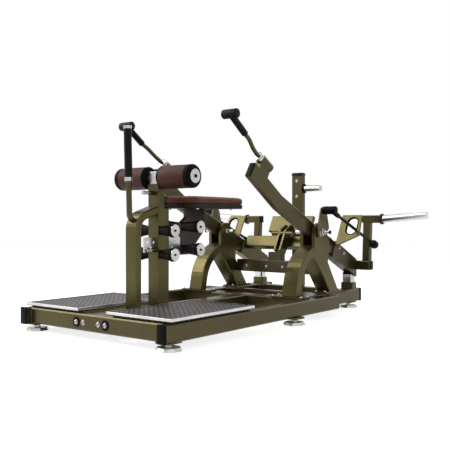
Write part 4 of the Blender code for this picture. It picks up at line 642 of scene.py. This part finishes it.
def leathercloth(name, first, second, deep):
    """Upholstery: two drifting browns, darker in the grain's valleys, with a soft gloss."""
    made, tree, place = new_material(name)
    grain = placed(tree, leather_grain, Vector=place, Scale=330.0)
    tone = mix(tree, grain.outputs["Valley"], drifting(tree, place, first, second, 5.0), deep)
    rough = remap(tree, grain.outputs["Valley"], to_low=0.4, to_high=0.62)
    principled(tree, grain, 0.4, 0.0009, Base_Color=tone, Roughness=rough, Specular_IOR_Level=0.22)
    return made


brown_leather = leathercloth("brown_leathercloth", colour(108, 56, 42), colour(92, 47, 37),
                             colour(56, 27, 21))
seat_leather = leathercloth("seat_leathercloth", colour(156, 98, 76), colour(138, 84, 66), colour(96, 56, 44))


def as_mesh(source):
    """A mesh of what an object's modifiers make of it."""
    return bpy.data.meshes.new_from_object(source.evaluated_get(bpy.context.evaluated_depsgraph_get()))


def points_of(mesh):
    """The mesh's points, one a row."""
    spots = np.zeros(len(mesh.vertices) * 3, np.float32)
    mesh.vertices.foreach_get("co", spots)
    return spots.reshape(-1, 3)


def swell(source, name, cap, voxel=0.005, pressure=4.0):
    """Foam under a cover: a copy is remeshed, blown up by Cloth with no gravity for 20 frames,
    and each point's travel is capped."""
    scene.frame_set(1)
    remesh = source.modifiers.new("even", 'REMESH')
    remesh.mode = 'VOXEL'
    remesh.voxel_size = voxel
    bpy.context.view_layer.update()
    even = as_mesh(source)
    source.modifiers.remove(remesh)
    worker = put(name + "_worker", even)
    cloth = worker.modifiers.new("cover", 'CLOTH')
    cloth.settings.use_pressure = True
    cloth.settings.uniform_pressure_force = pressure
    cloth.settings.effector_weights.gravity = 0.0
    cloth.settings.quality = 5
    cloth.point_cache.frame_start = 1
    cloth.point_cache.frame_end = 20
    before = points_of(even)
    for number in range(1, 21):
        scene.frame_set(number)
    blown = as_mesh(worker)
    scene.frame_set(1)
    travel = points_of(blown) - before
    length = np.linalg.norm(travel, axis=1, keepdims=True)
    held = before + travel * np.minimum(1.0, cap / np.maximum(length, 1e-9))
    bpy.data.objects.remove(worker)
    blown.vertices.foreach_set("co", held.astype(np.float32).ravel())
    blown.update()
    blown.materials.clear()
    for surface in source.data.materials:
        blown.materials.append(surface)
    blown.shade_smooth()
    source.data = blown


seat_low, seat_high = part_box("seat_cushion")
nose = 0.114


def seat_half(back, whole, nose_half=0.045, wide_half=0.15):
    """Half width of the seat at a distance behind its front: a rounded nose, a rounded shoulder and
    a rounded back, each corner a quarter of a circle: half - corner + sqrt(corner^2 - (corner - d)^2)."""
    def rounded(distance, half, corner):
        near = np.clip(distance, 0.0, corner)
        return half - corner + np.sqrt(corner ** 2 - (corner - near) ** 2)
    front = rounded(back, nose_half, 0.015)
    wide = rounded(back - nose, wide_half, 0.03)
    half = np.where(back < nose, front, np.maximum(wide, nose_half))
    return np.minimum(half, rounded(whole - back, wide_half, 0.03))


def cushion_shell(low, high, margin=0.002):
    """Sections across the seat, carried along it. Above its middle a section is round-shouldered,
    x = half |cos|^0.36 and z = depth |sin|^0.5, and below it is nearly square where it is stapled."""
    whole = seat_high[1] - seat_low[1] - 2 * margin
    back = np.concatenate([0.024 * np.linspace(0.1, 1.0, 10) ** 2, np.linspace(0.032, nose - 0.001, 9),
                           nose + 0.034 * np.linspace(0.03, 1.0, 12) ** 1.6,
                           np.linspace(nose + 0.05, whole - 0.05, 20),
                           whole - 0.034 * np.linspace(1.0, 0.1, 14) ** 2])
    half = np.maximum(seat_half(back, whole) - margin, 0.012)
    turn = circle(80)
    cosine, sine = np.cos(turn), np.sin(turn)
    above = sine > 0
    ends = np.minimum(back, whole - back)
    droop = np.sqrt(1 - (1 - np.clip(ends / 0.016, 0.02, 1)) ** 2)
    crown = 1.0 + 0.04 * np.clip(half / 0.15, 0, 1) * np.sin(np.pi * np.clip(back / whole, 0, 1))
    x = half[:, None] * np.sign(cosine) * np.abs(cosine) ** np.where(above, 0.36, 0.12)
    depth = (high - low) / 2
    top = (droop * crown)[:, None] * np.abs(sine) ** 0.5 * (1.0 - 0.06 * np.abs(cosine) ** 6)
    z = (low + high) / 2 + depth * np.where(above, top, -np.abs(sine) ** 0.1)
    y = np.broadcast_to((seat_low[1] + margin + back)[:, None], x.shape)
    return shell(np.stack([x, y, z], -1))


cushion = piece("seat_cushion_cover", [cushion_shell(seat_low[2] + 0.0004, seat_high[2] - 0.0015)],
                [seat_leather], "base", 180.0)
swell(cushion, "seat_cushion_cover", 0.0035)
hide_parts("seat_cushion")

board_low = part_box("seat_board")[0]
places = [(x, y, board_low[2]) for x in (-0.1, 0.1) for y in (-0.34, -0.05)]
shells = bolt_shells(places, (0.0, 0.0, -1.0), 0.01)
bright_piece("seat_board_bolts", shells)


# Thigh rollers: two foam rollers in brown leathercloth on one steel axle, each closed by black
# rubber end caps. The axle's bright end discs keep them on, and their post slides in the main post.

satin_steel = plated_steel("satin_plated_steel", colour(202, 200, 199), 0.3, 0.34, (1.0, 1.0, 14.0))
dress(satin_steel, "roller_post", "thigh_axle")
dress(bright_steel, "post_pin", "shin_pin")
black_rubber = moulded_black("black_rubber", colour(13, 12, 11), 0.58, 620.0, 0.18)
axle_low, axle_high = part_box("thigh_axle")
axle_spot = middle(axle_low, axle_high) * (0, 1, 1)
for name, side in both_sides:
    bore_radius, inner, outer, full = 0.01285, 0.0462, 0.2598, 0.0596
    bend = quarter(8)
    share = np.linspace(0.0, 1.0, 25)
    leather_run = np.stack([0.0585 + share * 0.17, full - 0.0012 + 0.0012 * np.sin(math.pi * share)], -1)
    inner_cap = np.stack([inner + 0.009 * (1 - np.sin(bend)), full - 0.009 + 0.009 * np.cos(bend)], -1)[::-1]
    outer_cap = np.stack([outer - 0.014 * (1 - np.sin(bend)), full - 0.014 + 0.014 * np.cos(bend)], -1)
    profile = np.concatenate([[(inner, bore_radius), (inner, 0.034)], inner_cap,
                              [(0.0577, full - 0.0002), (0.0581, full - 0.0024)], leather_run,
                              [(0.2289, full - 0.0024), (0.2293, full - 0.0002)], outer_cap,
                              [(outer, 0.042), (outer - 0.0014, 0.04), (outer - 0.0014, bore_radius)]])
    marks = ((profile[:, 0] < 0.0582) | (profile[:, 0] > 0.2288)).astype(int)
    roller = piece("thigh_roller_cover_" + name,
                   [turned(profile, axle_spot, (side, 0.0, 0.0), 64, ring=True, marks=marks)],
                   [brown_leather, black_rubber], "thigh_roller_" + name, 40.0)
    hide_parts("thigh_roller_" + name)
shells = [turned([(0.0, 0.0095), (0.003, 0.0095), (0.0045, 0.008), (0.0045, 0.0052), (0.002, 0.0048)],
                 (side * axle_high[0], axle_spot[1], axle_spot[2]), (side, 0.0, 0.0), 24, sides=6)
          for side in (-1, 1)]
black_piece("thigh_axle_screws", shells, "roller_post_assembly")


# Shin rollers: four waisted rollers of dark rubber on steel axles, two fixed through the main post
# and two on a bracket that a punched slide bar carries behind it. Bright discs close their ends.

dark_rubber = moulded_black("dark_roller_rubber", colour(30, 24, 26), 0.48, 420.0, 0.25)
dark_steel = powder_coat("dark_painted_steel", colour(66, 57, 56), colour(58, 51, 50), colour(120, 112, 106))
dress(satin_steel, "front_shin_axle_upper", "front_shin_axle_lower", "shin_slide_bar")
dress(dark_steel, "roller_bracket")
screws = {"base": [], "shin_carriage": []}
discs = {"base": [], "shin_carriage": []}
for pair, body in (("front", "base"), ("rear", "shin_carriage")):
    for level in ("upper", "lower"):
        for name, side in both_sides:
            node_name = f"shin_roller_{pair}_{level}_{name}"
            low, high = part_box(node_name)
            centre = middle(low, high) * (0, 1, 1)
            near, far = sorted((abs(low[0]), abs(high[0])))
            share = np.linspace(0.0, 1.0, 20)
            waist = 0.0232 + (0.0335 - 0.0232) * share ** 1.5
            body_run = np.stack([near + 0.0015 + share * (far - near - 0.0195), waist], -1)
            lip = quarter(6)
            rim = np.stack([far - 0.0038 * (1 - np.sin(lip)), 0.0312 + 0.0036 * np.cos(lip)], -1)
            profile = np.concatenate([[(near, 0.0087), (near, 0.0215)], body_run, [(far - 0.017, 0.0348)],
                                      rim, [(far, 0.029), (far, 0.0087)]])
            roller = piece(node_name + "_cover", [turned(profile, centre, (side, 0.0, 0.0), 48, ring=True)],
                           [dark_rubber], node_name, 50.0)
            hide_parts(node_name)
            disc_face = centre + np.array([side * (far + 0.0056), 0.0, 0.0])
            discs[body].append(turned([(-0.0052, 0.03), (-0.0048, 0.0322), (0.0, 0.0322), (0.001, 0.0312),
                                       (0.0012, 0.012), (0.0004, 0.01)], disc_face, (side, 0.0, 0.0), 40))
            screws[body].append(turned([(-0.001, 0.006), (0.0026, 0.006), (0.0036, 0.005), (0.0036, 0.0028),
                                        (0.0018, 0.0026)], disc_face, (side, 0.0, 0.0), 24, sides=6))
for body in ("base", "shin_carriage"):
    bright_piece("shin_end_discs_" + body, discs[body], body)
    black_piece("shin_end_screws_" + body, screws[body], body)


# Stands: each a bent front leg and a straight rear leg of wide steel tube under two cheeks that
# hold the arm's shaft, welded to foot plates that are bolted down on the base.

# The stands get the lighter copy of the olive coat: painted light.
dress(lit_olive_coat, "stand_right", "stand_left")
tie_coat = powder_coat("dark_olive_coat", colour(88, 79, 57), colour(78, 70, 52), colour(130, 120, 96))
dress(tie_coat, "lower_tie_beam")
bolts = []
plate_top = 0.1263
for side in (-1, 1):
    for across, rows in ((0.245, (0.158, 0.222)), (0.434, (0.158, 0.222)), (0.32, (0.521, 0.69)),
                         (0.38, (0.521, 0.69))):
        bolts += bolt_shells([(side * across, y, plate_top) for y in rows], upward, 0.0095)
bright_piece("stand_foot_bolts", bolts)
tie_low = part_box("lower_tie_beam")[0]
tie_bolt_line = 0.262
places = [(x, tie_low[1], tie_bolt_line) for x in (-0.22, -0.062, 0.062, 0.22)]
bolts = bolt_shells(places, forward, 0.0085)
bright_piece("tie_beam_bolts", bolts)


# Rear rails' end caps, stops and storage post: moulded black caps, rubber bumpers in bright cups
# that the arms' sleeves rest on, and a bolted post with one horn for spare plates.

dress(black_plastic, "rear_rail_cap_right", "rear_rail_cap_left")
for name in ("right", "left"):
    low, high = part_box("stop_bumper_" + name)
    foot = (*middle(low, high)[:2], low[2])
    height = high[2] - low[2]
    slope = 0.4515
    outline = rounded_rectangle(high[0] - low[0] - 0.001, high[1] - low[1] - 0.001, 0.01)
    levels = np.array([0.0, 0.25, 0.5, 0.75, 0.9, 0.97, 1.0])
    inward = np.array([0.001, 0.0, -0.0006, 0.0, 0.001, 0.003, 0.0065])
    rows = np.stack([drawn_in(outline, amount) for amount in inward])
    rise = levels[:, None] * (height - slope * (rows[..., 1] + (high[1] - low[1]) / 2)) - 0.0002
    points = foot + np.stack([rows[..., 0], rows[..., 1], np.maximum(rise, 0.0)], -1)
    bumper = piece("stop_bumper_block_" + name, [shell(points, marks=[1, 1, 1, 0, 0, 0])],
                   [black_rubber, bright_steel], "base", 50.0)
    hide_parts("stop_bumper_" + name)

dress(olive_coat, "storage_post")
dress(bright_steel, "storage_horn")
storage_middle, storage_half = 0.8289, 0.02
places = [(0.0, storage_middle - storage_half, height) for height in (0.824, 0.72)]
bolts = bolt_shells(places, forward, 0.0115)
bright_piece("storage_post_bolts", bolts)
cap_outline = rounded_rectangle(0.0878, 0.0438, 0.009)
rows = np.stack([drawn_in(cap_outline, amount) for amount in (0.0, 0.0, 0.0008, 0.004, 0.01, 0.016)])
heights = np.array([0.864, 0.8722, 0.8742, 0.8766, 0.879, 0.8798])
level = np.broadcast_to(heights[:, None], rows.shape[:2])
points = np.stack([rows[..., 0], storage_middle + rows[..., 1], level], -1)
black_piece("storage_post_cap", [shell(points)], smooth=50.0)
horn_low, horn_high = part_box("storage_horn")
horn_spot = (horn_low[0], *middle(horn_low, horn_high)[1:])
flange = [(0.0002, 0.032), (0.007, 0.032), (0.008, 0.031), (0.0082, 0.0213)]
black_piece("storage_horn_flange", [turned(flange, horn_spot, leftward, 32)])


# Arms: long rectangular tubes that turn on the stands' shafts, bent once, with a plugged front
# end under the handle's socket and a deeper bolted sleeve behind. A cross beam ties them.

dress(olive_coat, "arm_right", "arm_left")
# The cross beam and plates get the lighter copy of the olive coat: painted light.
dress(lit_olive_coat, "cross_beam", "guide_plate_right", "guide_plate_left", "centre_plate")
# A depth behind the front of the base frame, less frame_middle, is a depth in the scene.
frame_middle = 1.0141
pivot_depth, pivot_height = 1.435, 0.489
arm_across = 0.35
arm_bend, arm_front, arm_slope = 1.06, 0.807, math.radians(33.2)
arm_end = np.array([0.0, arm_front - frame_middle,
                    pivot_height + math.tan(math.radians(24.3)) * (pivot_depth - arm_bend)
                    + math.tan(arm_slope) * (arm_bend - arm_front)])
arm_back = np.array([0.0, math.cos(arm_slope), -math.sin(arm_slope)])
arm_up = np.array([0.0, math.sin(arm_slope), math.cos(arm_slope)])
shells = []
for side in (-1, 1):
    origin = arm_end + (side * arm_across, 0.0, 0.0) + arm_back * 0.0004
    shells.append(slab(rounded_rectangle(0.0392, 0.0872, 0.006), 0.0036, 0.0022, origin, leftward, arm_up))
    shells.append(slab(rounded_rectangle(0.028, 0.074, 0.004), 0.001, 0.0006, origin - arm_back * 0.0034,
                       leftward, arm_up))
black_piece("arm_end_plugs", shells, "swing_frame")
shells = []
for side in (-1, 1):
    places = [(side * 0.38, 0.6979, 0.386), (side * 0.38, 0.7569, 0.351)]
    shells += bolt_shells(places, (side, 0.0, 0.0), 0.0095)
bright_piece("arm_sleeve_bolts", shells, "swing_frame")


# Handles: a bent steel bar that turns in the arm's socket behind a plated collar, with a black
# rubber sleeve and a short cross grip on its end.

def swept(path, radius):
    """A round bar along a smooth path that stays near one upright plane."""
    ahead = unit(np.gradient(path, axis=0))
    across = unit(leftward - ahead[:, :1] * ahead)
    return round_bar(path, np.full(len(path), radius), across, np.cross(ahead, across), 24)


def curve_through(knots, count):
    """Points on a smooth curve through the knots: a cubic between each pair whose slopes are
    half the difference of the neighbours."""
    knots = np.array(knots, float)
    padded_knots = np.concatenate([[2 * knots[0] - knots[1]], knots, [2 * knots[-1] - knots[-2]]])
    spot = np.linspace(0.0, len(knots) - 1 - 1e-9, count)
    index = spot.astype(int)
    t = (spot - index)[:, None]
    before, start, end, after = (padded_knots[index + n] for n in range(4))
    return 0.5 * (2 * start + (end - before) * t + (2 * before - 5 * start + 4 * end - after) * t ** 2
                  + (3 * start - before - 3 * end + after) * t ** 3)


grip_rubber = ribbed_rubber("ribbed_handle_sleeve", (0.0, -0.811, 0.585), 0.005)
socket_slope = math.radians(31.4)
socket_front = np.array([0.0, 0.89 - frame_middle, 0.893])
socket_axis = np.array([0.0, math.cos(socket_slope), -math.sin(socket_slope)])
for name, side in both_sides:
    centre = np.array([side * arm_across, 0.0, 0.0])
    grip_x = side * 0.37
    knots = [centre + socket_front + socket_axis * 0.1, centre + socket_front + socket_axis * 0.05,
             centre + socket_front - socket_axis * 0.018, (side * 0.356, 0.822 - frame_middle, 0.937),
             (side * 0.366, 0.775 - frame_middle, 0.976), (grip_x, 0.732 - frame_middle, 1.002),
             (grip_x, 0.671 - frame_middle, 1.046), (grip_x, 0.61 - frame_middle, 1.09)]
    line = curve_through(knots, 90)
    sleeve_line = line[line[:, 1] < 0.733 - frame_middle]
    start, end = sleeve_line[0], sleeve_line[-1]
    run = (end - start) / np.linalg.norm(end - start)
    length = np.linalg.norm(end - start)
    sleeve = [(-0.003, 0.0125), (-0.003, 0.016), (-0.0015, 0.0176), (0.004, 0.0178), (length - 0.004, 0.0178),
              (length, 0.0174), (length, 0.0125)]
    cross = [(0.0, 0.018), (0.0012, 0.0222), (0.003, 0.0236), (0.005, 0.024), (0.085, 0.024),
             (0.087, 0.0236), (0.0888, 0.0222), (0.09, 0.018)]
    shells = [swept(line, 0.0115),
              turned(sleeve, start, run, 32, marks=1),
              turned(cross, (grip_x - 0.045, end[1], end[2]), leftward, 40, marks=1),
              turned([(-0.018, 0.012), (-0.018, 0.024), (-0.0165, 0.0258), (-0.0098, 0.026), (-0.009, 0.025),
                      (-0.0086, 0.0225)], centre + socket_front, socket_axis, 32, marks=2),
              turned([(-0.0086, 0.0222), (-0.0078, 0.027), (-0.002, 0.029), (-0.0007, 0.029),
                      (-0.0006, 0.012)], centre + socket_front, socket_axis, 32, marks=2)]
    bar = piece("handle_bar_" + name, shells, [olive_coat, grip_rubber, bright_steel], "handle_" + name,
                40.0)
    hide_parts("handle_" + name)


# Guide plates: flat plates welded to the arms' sleeves, each with an oval hole edged in black
# rubber that the lever's rod passes through.

lean = math.radians(28.0)
plate_up = np.array([0.0, math.sin(lean), math.cos(lean)])
plate_out = np.array([0.0, -math.cos(lean), math.sin(lean)])
plate_spot = np.array([0.0, 1.716 - frame_middle, 0.505])
hole_width, hole_length, hole_above = 0.0735, 0.1195, 0.5215 - 0.505
radius = hole_width / 2
turn = np.linspace(0.0, math.pi, 14)
oval = np.stack([np.cos(turn) * radius, np.sin(turn) * radius + hole_length / 2 - radius], -1)
oval = np.concatenate([oval, -oval])
for name, side in both_sides:
    outline = oval + (side * 0.464, hole_above / math.cos(lean))
    ring = plate_spot + outline[:, :1] * leftward + outline[:, 1:] * plate_up
    outward = np.cross(unit(np.roll(ring, -1, 0) - np.roll(ring, 1, 0)), plate_out)
    turn = circle(12)
    bulge = 0.0044 * np.sign(np.cos(turn)) * np.abs(np.cos(turn)) ** 0.6
    width = 0.0078 * np.sign(np.sin(turn)) * np.abs(np.sin(turn)) ** 0.6
    points = ring[:, None] + bulge[None, :, None] * outward[:, None] + width[None, :, None] * plate_out
    piece("guide_grommet_" + name, [shell(points, True)], [black_rubber], "swing_frame", 60.0)


# Pivot shafts and levers: a plated shaft through each stand ends outside in a coated bracket. A
# black lever with a ball end turns on the bracket's pin.

def part_coated(name, coat, base, inner, outer, clear_y, clear_z, clear_radius, coat_rough):
    """Plated steel that is coated between two distances from the middle plane, but not near the
    shaft's own axis: mask = between(|x|) and distance from axis > clear radius."""
    made, tree, place = new_material(name)
    axes = lay(tree, "SeparateXYZ", Vector=place)
    out = maths(tree, 'ABSOLUTE', axes.outputs["X"])
    past = maths(tree, 'GREATER_THAN', out, inner)
    between = maths(tree, 'MULTIPLY', past, maths(tree, 'LESS_THAN', out, outer))
    away = lay(tree, "CombineXYZ", X=maths(tree, 'SUBTRACT', axes.outputs["Y"], clear_y),
               Y=maths(tree, 'SUBTRACT', axes.outputs["Z"], clear_z), Z=0.0)
    gap = lay(tree, "VectorMath", {"operation": 'LENGTH'}, i0=away)
    mask = maths(tree, 'MULTIPLY', between, maths(tree, 'GREATER_THAN', gap.outputs["Value"], clear_radius))
    tone = mix(tree, mask, drifting(tree, place, base, shaded_by(base, 0.88), 8.0),
               drifting(tree, place, coat, shaded_by(coat, 0.85)))
    principled(tree, noise(tree, place, 330.0, 2.0), 0.14, 0.0005, Base_Color=tone,
               Metallic=remap(tree, mask, to_low=1.0, to_high=0.5),
               Roughness=remap(tree, mask, to_low=0.2, to_high=coat_rough))
    return made


shaft_finish = part_coated("shaft_with_coated_bracket", colour(101, 92, 60), colour(206, 206, 204),
                           0.4035, 0.4145, pivot_depth - frame_middle, pivot_height, 0.0215, 0.4)
dress(shaft_finish, "pivot_shaft_right", "pivot_shaft_left")
dress(black_plastic, "lever_right", "lever_left")
shaft_ends = []
for name, side in both_sides:
    knuckle = np.array([side * 0.4905, 1.462 - frame_middle, 0.618])
    rod_start = np.array([side * 0.478, 1.462 - frame_middle, 0.607])
    ball = np.array([side * 0.492, 1.962 - frame_middle, 0.407])
    reach = np.linalg.norm(ball - rod_start)
    bend = quarter(6)
    dome = [(-0.006, 0.0246)] + [(0.007 * math.sin(t), 0.0246 - 0.01 * (1 - math.cos(t))) for t in bend]
    near = [(0.01, 0.0125), (0.014, 0.015), (0.058, 0.014), (0.066, 0.0118), (0.07, 0.0088)]
    far = [(reach - 0.075, 0.0088), (reach - 0.068, 0.0115), (reach - 0.02, 0.015), (reach - 0.012, 0.018)]
    tip = [(reach + 0.01, 0.0262), (reach + 0.02, 0.0254), (reach + 0.03, 0.0205), (reach + 0.035, 0.011)]
    shells = [turned(dome, knuckle, (side, 0.0, 0.0), 32), turned(near, rod_start, ball - rod_start, 24),
              turned(far, rod_start, ball - rod_start, 24), turned(tip, rod_start, ball - rod_start, 32)]
    black_piece("lever_knuckle_" + name, shells, "lever_" + name, 50.0)
    shaft_end = np.array([side * 0.4398, pivot_depth - frame_middle, pivot_height])
    shaft_ends.append(turned([(0.0, 0.0075), (0.026, 0.0075)], shaft_end, (side, 0.0, 0.0), 24))
    shaft_ends.append(turned([(0.0255, 0.0095), (0.0265, 0.0125), (0.033, 0.0125), (0.034, 0.0105)],
                             shaft_end, (side, 0.0, 0.0), 24, marks=1, sides=6))
piece("shaft_end_bolts", shaft_ends, [bright_steel, black_plastic], "swing_frame", 30.0)


# Weight carriers and horns: coated tubes welded behind the arms, each with a plated horn for
# plates behind a black collar. Black plugs close the tubes' open ends.

dress(olive_coat, "weight_carrier_right", "weight_carrier_left")
horn_finish = part_coated("horn_with_black_collar", colour(36, 33, 32), colour(214, 214, 212), 0.529, 0.5478,
                          -9.0, 0.0, 0.1, 0.38)
dress(horn_finish, "weight_horn_right", "weight_horn_left")
shells = []
for side in (-1, 1):
    for high, spot, way in ((0.056, (side * 0.468, 1.9775 - frame_middle, 0.267), side),
                            (0.048, (side * 0.408, 1.9925 - frame_middle, 0.5675), -side)):
        outline = rounded_rectangle(0.043, high, 0.005)
        shells.append(slab(outline, 0.0034, 0.002, spot, (0.0, way, 0.0), upward))
black_piece("carrier_tube_plugs", shells, "swing_frame")
